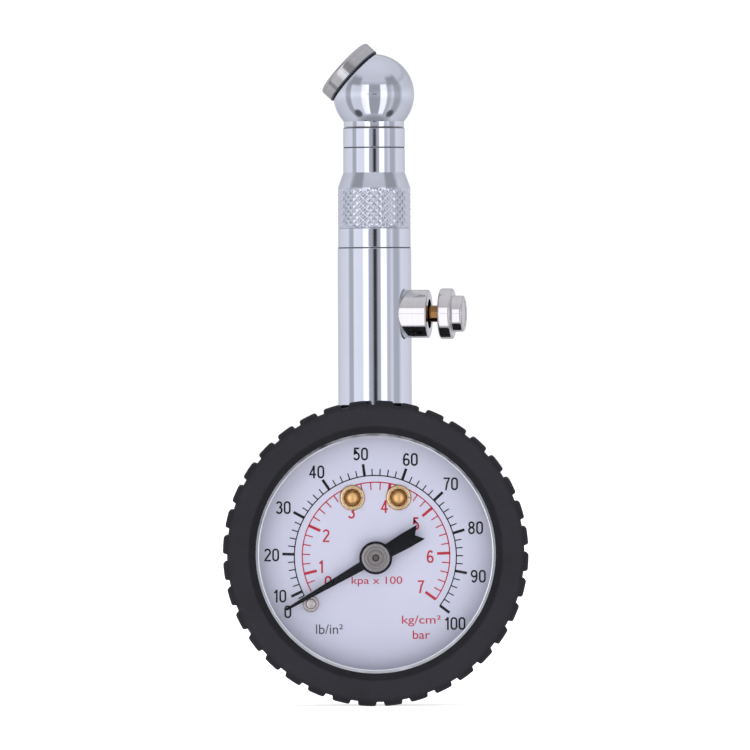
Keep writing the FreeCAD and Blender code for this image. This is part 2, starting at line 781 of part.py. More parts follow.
def bourdon_end_piece():
    """Cap brazed over the tube's tip, with a slotted arm for the link's upper pin."""
    tip_x, tip_y = polar(TUBE_R, TUBE_TIP_DEG)
    cap_top = tip_y + END_CAP_ABOVE
    cap_x = (tip_x - END_CAP_LEFT, tip_x + END_CAP_RIGHT)
    cap = block(cap_x, (tip_y - END_CAP_BELOW, cap_top), END_CAP_DEPTHS)
    depths = (SECTOR_REAR, SECTOR_FRONT)
    arm_left = TIP_PIVOT[0] - END_ARM_HALF_WIDTH
    arm_right = TIP_PIVOT[0] + END_ARM_HALF_WIDTH
    bar = block((tip_x, arm_right), (tip_y + END_BAR_ABOVE, cap_top), depths)
    slot_low = TIP_PIVOT[1] - TAIL_DROP
    arm = block((arm_left, arm_right), (slot_low - END_ARM_MARGIN, cap_top), depths)
    slot_r = LINK_PIN_R + SLOT_CLEARANCE
    slot_x = (TIP_PIVOT[0] - slot_r, TIP_PIVOT[0] + slot_r)
    slot = rod(slot_r, *depths, *TIP_PIVOT)
    slot = slot.fuse(rod(slot_r, *depths, TIP_PIVOT[0], slot_low))
    slot = slot.fuse(block(slot_x, (slot_low, TIP_PIVOT[1]), depths))
    shape = cap.fuse([bar, arm]).cut(slot).cut(tube_outside())
    return behind_dial(one_solid(shape))


def socket_block():
    """Brass block: tongue for the movement, pocket for the tube, neck for the barrel."""
    body = block(
        (-BLOCK_HALF_WIDTH, BLOCK_HALF_WIDTH), (BLOCK_BOTTOM, BLOCK_TOP), (BLOCK_REAR, DIAL_REAR)
    )
    tongue = block(
        (-TONGUE_HALF_WIDTH, TONGUE_HALF_WIDTH),
        (TONGUE_BOTTOM, BLOCK_BOTTOM),
        (BACK_PLATE_FRONT, FRONT_PLATE_REAR),
    )
    up = V(0, 1, 0)
    neck = Part.makeCylinder(NECK_R, NECK_TOP - BLOCK_TOP, V(0, BLOCK_TOP, 0), up)
    bore = Part.makeCylinder(
        BLOCK_BORE_R, NECK_TOP - BLOCK_BORE_BOTTOM, V(0, BLOCK_BORE_BOTTOM, 0), up
    )
    side_bore = Part.makeCylinder(
        BLOCK_BORE_R / 2, BLOCK_HALF_WIDTH, V(0, BLOCK_BORE_BOTTOM + 0.6, TUBE_DEPTH), V(1, 0, 0)
    )
    shape = body.fuse([tongue, neck]).cut([bore, side_bore, tube_outside()])
    for place in DIAL_SCREW_PLACES:
        hole_end = DIAL_FRONT + WASHER_THICKNESS - DIAL_SCREW_LENGTH
        shape = shape.cut(rod(DIAL_SCREW_R, hole_end, DIAL_REAR, *place))
    for place in TONGUE_SCREWS:
        shape = shape.cut(rod(MOVEMENT_SCREW_R, BACK_PLATE_FRONT, FRONT_PLATE_REAR, *place))
    return behind_dial(one_solid(shape))


def neck_seal():
    return on_stem(washer(NECK_R, BLOCK_BORE_R, NECK_TOP, BARREL_SOCKET_TOP))


# Barrel and knurled barrel ---------------------------------------------------------------

def barrel():
    tube = lathe([
        (NECK_R, BARREL_BOTTOM),
        (BARREL_R, BARREL_BOTTOM),
        (BARREL_R, BARREL_TOP - SEAM_CHAMFER),
        (BARREL_R - SEAM_CHAMFER, BARREL_TOP),
        (SPIGOT_R, BARREL_TOP),
        (SPIGOT_R, SPIGOT_SOCKET_BOTTOM),
        (BARREL_BORE_R, SPIGOT_SOCKET_BOTTOM),
        (BARREL_BORE_R, BARREL_SOCKET_TOP),
        (NECK_R, BARREL_SOCKET_TOP),
    ])
    turn = math.radians(-CLOCKING_DEG)
    outward = V(math.cos(turn), math.sin(turn), 0)
    side_hole = Part.makeCylinder(
        BOSS_SPIGOT_R, BARREL_R, V(0, 0, BLEED_HEIGHT) + outward * 1.0, outward
    )
    return on_stem(one_solid(tube.cut(side_hole)))


def barrel_o_ring():
    wire_r = 0.5
    centre_r = SPIGOT_R - 0.05 - wire_r
    return on_stem(o_ring(centre_r, wire_r, SPIGOT_BOTTOM + 1.0 + RING_GROOVE_HEIGHT / 2))


def upper_barrel():
    groove_bottom = SPIGOT_BOTTOM + 1.0
    groove_r = SPIGOT_R - 1.1
    relief_r = UPPER_R - KNURL_RELIEF
    return on_stem(lathe([
        (CHAMBER_R, SPIGOT_BOTTOM),
        (SPIGOT_R, SPIGOT_BOTTOM),
        (SPIGOT_R, groove_bottom),
        (groove_r, groove_bottom),
        (groove_r, groove_bottom + RING_GROOVE_HEIGHT),
        (SPIGOT_R, groove_bottom + RING_GROOVE_HEIGHT),
        (SPIGOT_R, BARREL_TOP),
        (UPPER_R - SEAM_CHAMFER, BARREL_TOP),
        (UPPER_R, BARREL_TOP + SEAM_CHAMFER),
        (UPPER_R, KNURL_BOTTOM - KNURL_RELIEF_WIDTH),
        (relief_r, KNURL_BOTTOM - KNURL_RELIEF_WIDTH),
        (relief_r, KNURL_BOTTOM),
        (UPPER_R, KNURL_BOTTOM),
        (UPPER_R, KNURL_TOP),
        (COLLAR_R, NECK_CONE_TOP),
        (COLLAR_R, UPPER_TOP - SEAM_CHAMFER),
        (COLLAR_R - SEAM_CHAMFER, UPPER_TOP),
        (COLLAR_SPIGOT_R, UPPER_TOP),
        (COLLAR_SPIGOT_R, CAVITY_BOTTOM),
        (PASSAGE_R, CAVITY_BOTTOM),
        (PASSAGE_R, SEAT_TOP),
        (CHAMBER_R, SEAT_TOP),
    ]))


# Check valve --------------------------------------------------------------------------------

def check_seat():
    return on_stem(washer(CHAMBER_R, PASSAGE_R, SEAT_BOTTOM, SEAT_TOP))


def check_poppet():
    return on_stem(lathe([
        (0, POPPET_STEM_BOTTOM),
        (POPPET_STEM_R, POPPET_STEM_BOTTOM, 0.2),
        (POPPET_STEM_R, POPPET_BOTTOM),
        (POPPET_R, POPPET_BOTTOM),
        (POPPET_R, SEAT_BOTTOM - 0.05, 0.3),
        (0, SEAT_BOTTOM - 0.05),
    ]))


def check_spring():
    return on_stem(coil(
        CHECK_SPRING_R, CHECK_SPRING_WIRE_R, RETAINER_TOP, POPPET_BOTTOM, CHECK_SPRING_TURNS
    ))


def check_retainer():
    ring = washer(CHAMBER_R, POPPET_STEM_R + PIVOT_CLEARANCE, RETAINER_BOTTOM, RETAINER_TOP)
    for degrees in (0, 120, 240):
        x, y = polar(RETAINER_AIR_PCR, degrees)
        ring = ring.cut(rod(RETAINER_AIR_R, RETAINER_BOTTOM, RETAINER_TOP, x, y))
    return on_stem(ring)


# Swivel and chuck head --------------------------------------------------------------------------

def swivel_collar():
    return on_stem(lathe([
        (COLLAR_BORE_R, COLLAR_SPIGOT_BOTTOM),
        (COLLAR_SPIGOT_R, COLLAR_SPIGOT_BOTTOM),
        (COLLAR_SPIGOT_R, UPPER_TOP),
        (COLLAR_R - SEAM_CHAMFER, UPPER_TOP),
        (COLLAR_R, UPPER_TOP + SEAM_CHAMFER),
        (COLLAR_R, COLLAR_TOP - SEAM_CHAMFER),
        (COLLAR_R - SEAM_CHAMFER, COLLAR_TOP),
        (COLLAR_BORE_R, COLLAR_TOP),
    ]))


def swivel_stem():
    groove_top = STEM_GROOVE_BOTTOM + RING_GROOVE_HEIGHT
    return on_stem(lathe([
        (STEM_BORE_R, STEM_FLANGE_BOTTOM),
        (STEM_FLANGE_R, STEM_FLANGE_BOTTOM),
        (STEM_FLANGE_R, STEM_FLANGE_TOP),
        (STEM_R, STEM_FLANGE_TOP),
        (STEM_R, STEM_GROOVE_BOTTOM),
        (STEM_GROOVE_R, STEM_GROOVE_BOTTOM),
        (STEM_GROOVE_R, groove_top),
        (STEM_R, groove_top),
        (STEM_R, BALL_NECK_BOTTOM),
        (STEM_THREAD_R, BALL_NECK_BOTTOM),
        (STEM_THREAD_R, STEM_TOP),
        (STEM_BORE_R, STEM_TOP),
    ]))


def swivel_o_ring():
    centre_r = COLLAR_BORE_R - 0.05 - STEM_RING_R
    height = STEM_GROOVE_BOTTOM + RING_GROOVE_HEIGHT / 2
    return on_stem(o_ring(centre_r, STEM_RING_R, height))


def ball_head():
    ball = Part.makeSphere(BALL_R)
    neck_low = BALL_NECK_BOTTOM - BALL_CENTRE
    neck = rod(BALL_NECK_R, neck_low, 0)
    thread_hole = rod(STEM_THREAD_R, neck_low, BALL_THREAD_TOP - BALL_CENTRE)
    air_bore = rod(STEM_BORE_R, neck_low, 0)
    foot_cuts = Part.makeCompound([
        rod(BALL_R + 1, FOOT_FLAT, BALL_R + 1),
        rod(FOOT_SOCKET_R, FOOT_SOCKET_FLOOR, FOOT_FLAT),
        rod(FOOT_PASSAGE_R, DEPRESSOR_BASE[0], FOOT_SOCKET_FLOOR),
    ])
    below_neck = rod(BALL_R, -BALL_R, neck_low)
    head = ball.fuse(neck).cut([below_neck, thread_hole, air_bore])
    head.translate(V(0, 0, CASE_Z + BALL_CENTRE))
    return one_solid(head.cut(on_foot(foot_cuts).Solids))


def chuck_cap():
    return on_foot(lathe([
        (MOUTH_R, CAP_SKIRT_END),
        (FOOT_SOCKET_R, CAP_SKIRT_END),
        (FOOT_SOCKET_R, CAP_BACK),
        (CAP_R, CAP_BACK, 0.3),
        (CAP_R, CAP_FACE, CAP_ROUND),
        (MOUTH_R + 0.3, CAP_FACE, 0.2),
        (MOUTH_R, CAP_FACE - 0.3),
    ]))


def chuck_seal():
    return on_foot(washer(SEAL_R, SEAL_BORE_R, SEAL_REAR, SEAL_FRONT))


def depressor_pin():
    """Pin that pushes the tyre valve's core; flats on its base let the air past."""
    base_rear, base_front = DEPRESSOR_BASE
    pin = lathe([
        (0, base_rear),
        (FOOT_PASSAGE_R, base_rear),
        (FOOT_PASSAGE_R, base_front),
        (DEPRESSOR_R, base_front),
        (DEPRESSOR_R, DEPRESSOR_TIP, 0.3),
        (0, DEPRESSOR_TIP),
    ])
    wide = FOOT_PASSAGE_R + 1
    for low, high in ((-wide, -DEPRESSOR_FLAT), (DEPRESSOR_FLAT, wide)):
        pin = pin.cut(block((low, high), (-wide, wide), (base_rear, base_front)))
    return on_foot(one_solid(pin))


# Bleed valve -----------------------------------------------------------------------------------------

def bleed_boss():
    """Boss screwed into the barrel wall; its back is saddled to the barrel."""
    boss = lathe([
        (BOSS_PASSAGE_R, BOSS_SPIGOT_END),
        (BOSS_SPIGOT_R, BOSS_SPIGOT_END),
        (BOSS_SPIGOT_R, BARREL_R - 2.0),
        (BOSS_R, BARREL_R - 2.0),
        (BOSS_R, BOSS_END, BOSS_ROUND),
        (BOSS_HOLE_R, BOSS_END),
        (BOSS_HOLE_R, BOSS_HOLE_FLOOR),
        (BOSS_PASSAGE_R, BOSS_HOLE_FLOOR),
    ])
    wall = Part.makeCylinder(BARREL_R, 4 * BOSS_R, V(-2 * BOSS_R, 0, 0), V(1, 0, 0))
    spigot = rod(BOSS_SPIGOT_R, BOSS_SPIGOT_END, BARREL_R)
    spigot = spigot.cut(rod(BOSS_PASSAGE_R, BOSS_SPIGOT_END, BARREL_R))
    return beside_barrel(one_solid(boss.cut(wall).fuse(spigot)))


def bleed_stem():
    head_rear, head_front = VALVE_ROD_HEAD
    return beside_barrel(lathe([
        (0, head_rear),
        (VALVE_ROD_HEAD_R, head_rear, 0.2),
        (VALVE_ROD_HEAD_R, head_front),
        (VALVE_ROD_R, head_front),
        (VALVE_ROD_R, STEM_BODY_REAR),
        (STEM_BODY_R, STEM_BODY_REAR),
        (STEM_BODY_R, STEM_BODY_FRONT),
        (STEM_TAIL_R, STEM_BODY_FRONT),
        (STEM_TAIL_R, STEM_TAIL_END),
        (0, STEM_TAIL_END),
    ]))


def bleed_seal():
    return beside_barrel(
        washer(VALVE_SEAL_R, VALVE_ROD_R, VALVE_ROD_HEAD[1], BOSS_SPIGOT_END - 0.02)
    )


def bleed_spring():
    return beside_barrel(coil(
        BLEED_SPRING_R, BLEED_SPRING_WIRE_R, BOSS_HOLE_FLOOR, STEM_BODY_REAR, BLEED_SPRING_TURNS
    ))


def bleed_button():
    return beside_barrel(lathe([
        (0, STEM_TAIL_END),
        (STEM_TAIL_R, STEM_TAIL_END),
        (STEM_TAIL_R, BUTTON_REAR),
        (BUTTON_FLANGE_R, BUTTON_REAR, 0.35),
        (BUTTON_FLANGE_R, BUTTON_STEP, 0.35),
        (BUTTON_TIP_R, BUTTON_STEP),
        (BUTTON_TIP_R, BUTTON_END - BUTTON_CHAMFER),
        (BUTTON_TIP_R - BUTTON_CHAMFER, BUTTON_END),
        (0, BUTTON_END),
    ]))


# Files -------------------------------------------------------------------------------------------------

PIECES = [
    boot, case, bezel_ring, lens, lens_gasket,
    dial_plate, dial_screws, dial_screw_washers, zero_stop_pin, pointer, pointer_hub,
    pinion_shaft, hairspring, movement_front_plate, movement_back_plate, movement_pillars,
    movement_screws, sector_gear, sector_arbor, link, link_pins,
    bourdon_tube, bourdon_end_piece, socket_block, neck_seal,
    barrel, barrel_o_ring, upper_barrel,
    check_seat, check_poppet, check_spring, check_retainer,
    swivel_collar, swivel_stem, swivel_o_ring, ball_head, chuck_cap, chuck_seal, depressor_pin,
    bleed_boss, bleed_stem, bleed_seal, bleed_spring, bleed_button,
]

os.makedirs("parts", exist_ok=True)
for piece in PIECES:
    solid = piece()
    assert solid.isValid(), piece.__name__
    solid.exportStep("parts/" + piece.__name__ + ".step")
    print(piece.__name__, len(solid.Solids), round(solid.Volume, 2))

print("sector axis", SECTOR_AXIS)
print("sector swing", SECTOR_SWING_DEG)
print("tail pivot", TAIL_PIVOT)
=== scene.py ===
import bpy
import bmesh
import json
import math
from mathutils import Matrix, Vector


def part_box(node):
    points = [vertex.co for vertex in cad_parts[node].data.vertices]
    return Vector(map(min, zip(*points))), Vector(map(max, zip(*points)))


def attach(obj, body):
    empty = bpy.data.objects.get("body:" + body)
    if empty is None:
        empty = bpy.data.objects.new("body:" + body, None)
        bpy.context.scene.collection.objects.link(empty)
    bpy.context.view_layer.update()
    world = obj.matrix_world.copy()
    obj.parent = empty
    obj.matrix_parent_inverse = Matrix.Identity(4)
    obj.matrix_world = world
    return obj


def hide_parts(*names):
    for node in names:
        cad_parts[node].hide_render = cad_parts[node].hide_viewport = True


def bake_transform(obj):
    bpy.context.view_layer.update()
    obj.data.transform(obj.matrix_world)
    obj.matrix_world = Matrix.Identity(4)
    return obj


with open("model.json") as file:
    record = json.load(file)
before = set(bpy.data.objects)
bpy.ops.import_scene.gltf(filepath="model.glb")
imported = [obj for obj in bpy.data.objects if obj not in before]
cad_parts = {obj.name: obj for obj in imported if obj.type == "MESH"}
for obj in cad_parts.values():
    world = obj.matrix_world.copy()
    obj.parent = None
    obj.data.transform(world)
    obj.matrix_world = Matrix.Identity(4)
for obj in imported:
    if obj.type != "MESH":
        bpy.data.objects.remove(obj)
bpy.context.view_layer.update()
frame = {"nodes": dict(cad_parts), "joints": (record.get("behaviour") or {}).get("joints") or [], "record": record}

# Dial tyre pressure gauge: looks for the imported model. Metres, in the CAD frame:
# +Z up the stem, the dial faces -Y, the floor is z = 0.

MM = 0.001
NODES = frame["nodes"]
JOINTS = {joint["name"]: joint for joint in frame["joints"]}
RECORD = frame["record"]

# --- Places read from the frame ---

def middle(low, high):
    return (low + high) / 2


BOOT_LOW, BOOT_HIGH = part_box("boot")
BOOT_R = (BOOT_HIGH.x - BOOT_LOW.x) / 2
CASE_CENTRE = Vector((0, 0, BOOT_LOW.z + BOOT_R))
PIVOT = Vector((0, 0, JOINTS["pointer_turn"]["pos_m"][2]))
DIAL_FRONT_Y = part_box("dial_plate")[0].y
BALL_CENTRE = Vector(JOINTS["chuck_swivel"]["pos_m"])
MOUTH = next(mount for mount in RECORD["mounts"] if mount["name"] == "chuck_mouth")
FOOT_AXIS = Vector(MOUTH["axis"]).normalized()
VALVE_AXIS = -Vector(JOINTS["bleed_press"]["axis"]).normalized()
VALVE_ORIGIN = Vector((0, 0, middle(*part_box("bleed_boss")).z))
STEM_AXIS = Vector((0, 0, 1))
DEPTH_AXIS = Vector((0, 1, 0))


# --- Mesh helpers ---

def link_object(name, data):
    piece = bpy.data.objects.new(name, data)
    bpy.context.scene.collection.objects.link(piece)
    return piece


def finish_mesh(name, bm, sharp_deg=32):
    """A smooth-shaded object from a bmesh, with hard edges past an angle."""
    bmesh.ops.recalc_face_normals(bm, faces=bm.faces)
    mesh = bpy.data.meshes.new(name)
    bm.to_mesh(mesh)
    bm.free()
    mesh.polygons.foreach_set("use_smooth", [True] * len(mesh.polygons))
    piece = link_object(name, mesh)
    set_normals(piece, sharp_deg)
    return piece


def set_normals(piece, sharp_deg):
    """Hard edges past an angle, and walls that stay true beside small rounded edges."""
    piece.data.set_sharp_from_angle(angle=math.radians(sharp_deg))
    weighted = piece.modifiers.new("weighted_normals", "WEIGHTED_NORMAL")
    weighted.keep_sharp = True


def rounded(corners, steps=5):
    """An outline's points, with each corner (x, y, r) replaced by an arc."""
    points = []
    count = len(corners)
    for index, corner in enumerate(corners):
        here = Vector(corner[:2])
        if len(corner) < 3:
            points.append(here)
            continue
        back = (Vector(corners[index - 1][:2]) - here).normalized()
        ahead = (Vector(corners[(index + 1) % count][:2]) - here).normalized()
        half = back.angle(ahead) / 2
        centre = here + (back + ahead).normalized() * (corner[2] / math.sin(half))
        start = here + back * (corner[2] / math.tan(half)) - centre
        end = here + ahead * (corner[2] / math.tan(half)) - centre
        turn = start.angle_signed(end)
        for step in range(steps + 1):
            points.append(centre + Matrix.Rotation(-turn * step / steps, 2) @ start)
    return points


def evaluated_mesh(piece):
    """A piece's mesh as its modifiers or its letters make it."""
    return bpy.data.meshes.new_from_object(
        piece.evaluated_get(bpy.context.evaluated_depsgraph_get())
    )


def subtract(piece, cutter):
    """Cuts one mesh out of another for good and removes the cutter."""
    cut = piece.modifiers.new("cut", "BOOLEAN")
    cut.object = cutter
    cut.operation = "DIFFERENCE"
    cut.solver = "EXACT"
    mesh = evaluated_mesh(piece)
    piece.modifiers.clear()
    piece.data = mesh
    set_normals(piece, 40)
    bpy.data.objects.remove(cutter)


def axis_frame(origin, axis):
    """Matrix that carries +Z to an axis and the origin to a point."""
    turn = STEM_AXIS.rotation_difference(axis).to_matrix().to_4x4()
    return Matrix.Translation(origin) @ turn


def ring_faces(bm, rings, closed_rings=True):
    """Quads between neighbouring rings of vertices."""
    pairs = zip(rings, rings[1:] + rings[:1]) if closed_rings else zip(rings, rings[1:])
    for low, high in pairs:
        for index in range(len(low)):
            following = (index + 1) % len(low)
            quad = [low[index], low[following], high[following], high[index]]
            if len(set(quad)) == 4:
                bm.faces.new(quad)


def turned_ring(bm, section, angle, place):
    """Vertices of a (radius, height) section in millimetres, turned about +Z and placed."""
    across, along = math.cos(angle), math.sin(angle)
    return [
        bm.verts.new(place @ (Vector((r * across, r * along, h)) * MM)) for r, h in section
    ]


def turned_rings(bm, section, segments, place):
    return [
        turned_ring(bm, section, 2 * math.pi * step / segments, place)
        for step in range(segments)
    ]


def lathe(name, profile, origin, axis, segments=192):
    """Closed solid of revolution from (radius, height) points in millimetres."""
    bm = bmesh.new()
    ring_faces(bm, turned_rings(bm, profile, segments, axis_frame(origin, axis)))
    bmesh.ops.remove_doubles(bm, verts=bm.verts, dist=1e-7)
    return finish_mesh(name, bm)


def prism(bm, outline, low_y, high_y):
    """Flat-sided closed shape from (x, z) points between two depths."""
    front = [bm.verts.new((x, low_y, z)) for x, z in outline]
    back = [bm.verts.new((x, high_y, z)) for x, z in outline]
    bm.faces.new(front)
    bm.faces.new(back[::-1])
    for index in range(len(outline)):
        following = (index + 1) % len(outline)
        bm.faces.new([front[following], front[index], back[index], back[following]])


def dress(piece, body, slot, material, *nodes):
    """Gives a new piece its material, its body and the nodes it stands for; the slot is not used."""
    if piece.data.materials:
        piece.data.materials[0] = material
    else:
        piece.data.materials.append(material)
    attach(piece, body)
    if nodes:
        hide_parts(*nodes)


# --- Material helpers ---

class NodeTree:
    """Short ways to add and join the nodes of a material or a world."""

    def __init__(self, owner):
        owner.use_nodes = True
        self.tree = owner.node_tree

    def add(self, kind, inputs=None, **settings):
        node = self.tree.nodes.new(kind)
        for key, value in settings.items():
            setattr(node, key, value)
        for key, value in (inputs or {}).items():
            self.feed(node.inputs[key], value)
        return node

    def feed(self, socket, value):
        if isinstance(value, bpy.types.NodeSocket):
            self.tree.links.new(value, socket)
        else:
            socket.default_value = value

    def spread(self, value, low, high, from_low=0.3, from_high=0.7):
        """A value's range stretched to another; as set, for the middle of a noise."""
        node = self.add("ShaderNodeMapRange", {
            "Value": value, "From Min": from_low, "From Max": from_high,
            "To Min": low, "To Max": high,
        })
        return node.outputs["Result"]

    def math(self, operation, first, second=0.0):
        node = self.add("ShaderNodeMath", {0: first, 1: second}, operation=operation)
        return node.outputs[0]

    def times(self, first, second):
        return self.math("MULTIPLY", first, second)

    def band(self, value, start, full, still_full, end):
        """A value's rise from 0 to 1 and its fall back to 0."""
        rising = self.spread(value, 0.0, 1.0, start, full)
        return self.times(rising, self.spread(value, 1.0, 0.0, still_full, end))

    def vector(self, operation, first, second=(0, 0, 0), output="Vector"):
        node = self.add("ShaderNodeVectorMath", {0: first, 1: second}, operation=operation)
        return node.outputs[output]


class Shader(NodeTree):
    """A node material round one Principled BSDF."""

    def __init__(self, name, **sockets):
        self.material = bpy.data.materials.new(name)
        super().__init__(self.material)
        self.principled = self.tree.nodes["Principled BSDF"]
        for socket, value in sockets.items():
            self.into(socket, value)

    def place(self):
        return self.add("ShaderNodeTexCoord").outputs["Object"]

    def noise(self, scale, vector=None, detail=4.0, roughness=0.55):
        inputs = {"Scale": scale, "Detail": detail, "Roughness": roughness}
        inputs["Vector"] = self.place() if vector is None else vector
        return self.add("ShaderNodeTexNoise", inputs).outputs["Fac"]

    def mottle(self, scale):
        return self.spread(self.noise(scale), 0.0, 1.0)

    def mix(self, share, first, second):
        """Two colours blended, each (red, green, blue) or an output."""
        node = self.add("ShaderNodeMix", {"Factor": share}, data_type="RGBA")
        for key, colour in ((6, first), (7, second)):
            self.feed(node.inputs[key], (*colour, 1) if isinstance(colour, tuple) else colour)
        return node.outputs[2]

    def paint(self, share, first, second):
        self.into("Base Color", self.mix(share, first, second))

    def bump(self, height, depth, strength):
        """Surface relief; depth is the relief's real height in metres."""
        node = self.add("ShaderNodeBump", {
            "Height": height, "Distance": depth, "Strength": strength,
        })
        self.into("Normal", node.outputs["Normal"])

    def into(self, socket, value):
        self.feed(self.principled.inputs[socket], value)

    def from_axis(self, origin, axis):
        """Distance from an axis."""
        offset = self.vector("SUBTRACT", self.place(), origin)
        return self.vector("LENGTH", self.vector("CROSS_PRODUCT", offset, axis), output="Value")

    def along(self, origin, axis):
        """(distance along an axis, distance from it) as a vector for turned marks."""
        offset = self.vector("SUBTRACT", self.place(), origin)
        height = self.vector("DOT_PRODUCT", offset, axis, output="Value")
        radius = self.from_axis(origin, axis)
        return self.add("ShaderNodeCombineXYZ", {"X": height, "Y": radius}).outputs["Vector"]


# --- Materials ---

def boot_rubber():
    """Matt rubber from the mould, with a fine grain, a faint uneven bloom, and painted shade on the lip's slope
    and the shoulder.
    """
    shader = Shader("boot_rubber")
    shader.into("Specular IOR Level", 0.22)
    bloom = shader.mottle(90.0)
    face = shader.mix(bloom, (0.0165, 0.016, 0.0195), (0.0205, 0.020, 0.0245))
    # A darker copy of the rubber for the lip's slope and the shoulder: painted shade where they turn away from the
    # light.
    painted_lip_shade = shader.mix(bloom, (0.009, 0.0088, 0.0108), (0.012, 0.0118, 0.014))
    from_axis = shader.from_axis(CASE_CENTRE, DEPTH_AXIS)
    on_lip = shader.spread(from_axis, 1.0, 0.0, 0.0256, 0.0260)
    on_shoulder = shader.spread(from_axis, 0.0, 1.0, 0.0293, 0.0303)
    shader.paint(shader.math("MAXIMUM", on_lip, on_shoulder), face, painted_lip_shade)
    shader.into("Roughness", shader.spread(shader.noise(400.0), 0.56, 0.70))
    shader.bump(shader.noise(5200.0, detail=3.0), 0.00002, 0.6)
    return shader.material


def even_surface(name, roughness, scale, dark, light, relief=None, specular=0.5):
    """Plain surface whose colour wanders; its relief is (scale, detail, depth, strength)."""
    shader = Shader(name, Roughness=roughness)
    shader.into("Specular IOR Level", specular)
    shader.paint(shader.mottle(scale), dark, light)
    if relief:
        grain, detail, depth, strength = relief
        shader.bump(shader.noise(grain, detail=detail), depth, strength)
    return shader.material


def polished_chrome(name, tint, smudge=0.05):
    """Bright plate with faint handling marks and an almost flat surface."""
    shader = Shader(name, Metallic=1.0)
    shader.paint(shader.mottle(120.0), tuple(0.965 * part for part in tint), tint)
    shader.into("Roughness", shader.spread(shader.noise(260.0), 0.025, smudge))
    shader.bump(shader.noise(140.0, detail=1.0), 0.000003, 0.3)
    return shader.material


def turned_metal(name, origin, axis, dark, light, roughness, depth=0.0000015):
    """Metal with fine rings left by a lathe round one axis."""
    shader = Shader(name, Metallic=1.0)
    marks = shader.noise(2600.0, shader.along(origin, axis), detail=3.0, roughness=0.7)
    stain = shader.spread(shader.noise(500.0), 0.8, 1.0)
    shader.paint(shader.times(shader.spread(marks, 0.45, 1.0), stain), dark, light)
    shader.into("Roughness", shader.spread(marks, roughness * 0.85, roughness * 1.15))
    shader.bump(marks, depth, 0.7)
    return shader.material


def hub_metal():
    """Turned face with coarse rings, darker round its bore."""
    shader = Shader("hub_nickel", Metallic=1.0)
    marks = shader.noise(1700.0, shader.along(PIVOT, DEPTH_AXIS), detail=3.0, roughness=0.7)
    face = shader.mix(shader.spread(marks, 0.0, 1.0), (0.25, 0.23, 0.215), (0.52, 0.49, 0.47))
    at_bore = shader.spread(shader.from_axis(PIVOT, DEPTH_AXIS), 1.0, 0.0, 0.00055, 0.0008)
    shader.paint(at_bore, face, (0.06, 0.045, 0.04))
    shader.into("Roughness", shader.spread(marks, 0.22, 0.34))
    shader.bump(marks, 0.00002, 0.7)
    return shader.material


def pin_metal():
    """Bright rivet head standing in a collar, with painted shade on the collar's edge and in the corner round the
    head.
    """
    shader = Shader("pin_nickel", Metallic=1.0, Roughness=0.2)
    radius = shader.times(shader.from_axis(middle(*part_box("zero_stop_pin")), DEPTH_AXIS), 1 / MM)
    shade = shader.mottle(1500.0)
    bright = shader.mix(shade, (0.80, 0.72, 0.68), (0.98, 0.90, 0.86))
    # Darker on the collar's outer edge and in the corner round the head: painted shade.
    edge = shader.spread(radius, 0.0, 1.0, 1.35, 1.6)
    corner = shader.band(radius, 0.7, 0.9, 1.0, 1.2)
    painted_pin_shade = shader.math("MAXIMUM", edge, corner)
    shader.paint(painted_pin_shade, bright, (0.46, 0.42, 0.40))
    shader.bump(shade, 0.000004, 0.5)
    return shader.material


def lens_clear():
    """Clear flat lens: it mirrors more at a grazing look and hides nothing face on."""
    shader = Shader("lens_clear", Metallic=1.0, Roughness=0.02)
    shader.paint(shader.mottle(60.0), (0.86, 0.88, 0.90), (0.92, 0.93, 0.94))
    facing = shader.add("ShaderNodeFresnel", {"IOR": 1.42}).outputs["Fac"]
    shader.into("Alpha", shader.times(facing, 0.38))
    return shader.material


# --- World, floor and camera ---

CAMERA_DISTANCE = 3.0
CAMERA_X = 0.00001
CAMERA_HEIGHT = 0.06715
CAMERA_LENS_MM = 707.8
CAMERA_ROLL_DEG = 0.25

# Brightness all round the object at stem height. Angles turn from the camera's side
# of the object, positive to its right.
SURROUNDINGS = [
    (-180, 0.70), (-150, 0.78), (-128, 0.95), (-92, 1.07), (-84, 0.63), (-72, 0.62), (-67, 1.20),
    (-56, 1.16), (-39, 1.14), (-36, 1.35), (-34, 1.80), (-20.4, 1.80), (-17.4, 0.62), (-5, 0.60),
    (5, 0.60), (18, 0.62), (21, 1.80), (37, 1.76), (40, 0.84), (46, 0.74), (57, 1.05),
    (64, 0.64), (80, 0.62), (92, 1.07), (128, 0.95), (150, 0.78), (180, 0.70),
]
# Brightness above and below the windows, against the sine of the height angle.
SKY = [
    (-1.0, 0.38), (-0.93, 0.45), (-0.85, 0.65), (-0.6, 0.70), (0.40, 0.62), (0.48, 0.68),
    (0.6, 0.84), (0.8, 0.86), (1.0, 0.94),
]
SKY_TINT = (0.955, 0.965, 1.06)
# The brightest level a ramp can hold.
PEAK = 2.0
# The windows' ends, as the sine of the height angle.
WINDOW_TOP = 0.42
WINDOW_LOW = -0.80
WINDOW_EDGE = 0.07
# A dark strip at stem height on the camera's side: half its width, and where it has faded.
DARK_STRIP_MIDDLE_DEG = 2.0
DARK_STRIP_DEG = (3.0, 9.0)
DARK_STRIP_RISE = (-0.010, 0.022)
DARK_STRIP_EDGE = 0.002
DARK_STRIP_LEVEL = 0.05
# Dark spots below, as directions.
DARK_SPOTS = [(-0.602, -0.29, -0.745), (0.62, -0.24, -0.745)]
DARK_SPOT_COS = (0.974, 0.993)
DARK_SPOT_LEVEL = 0.14
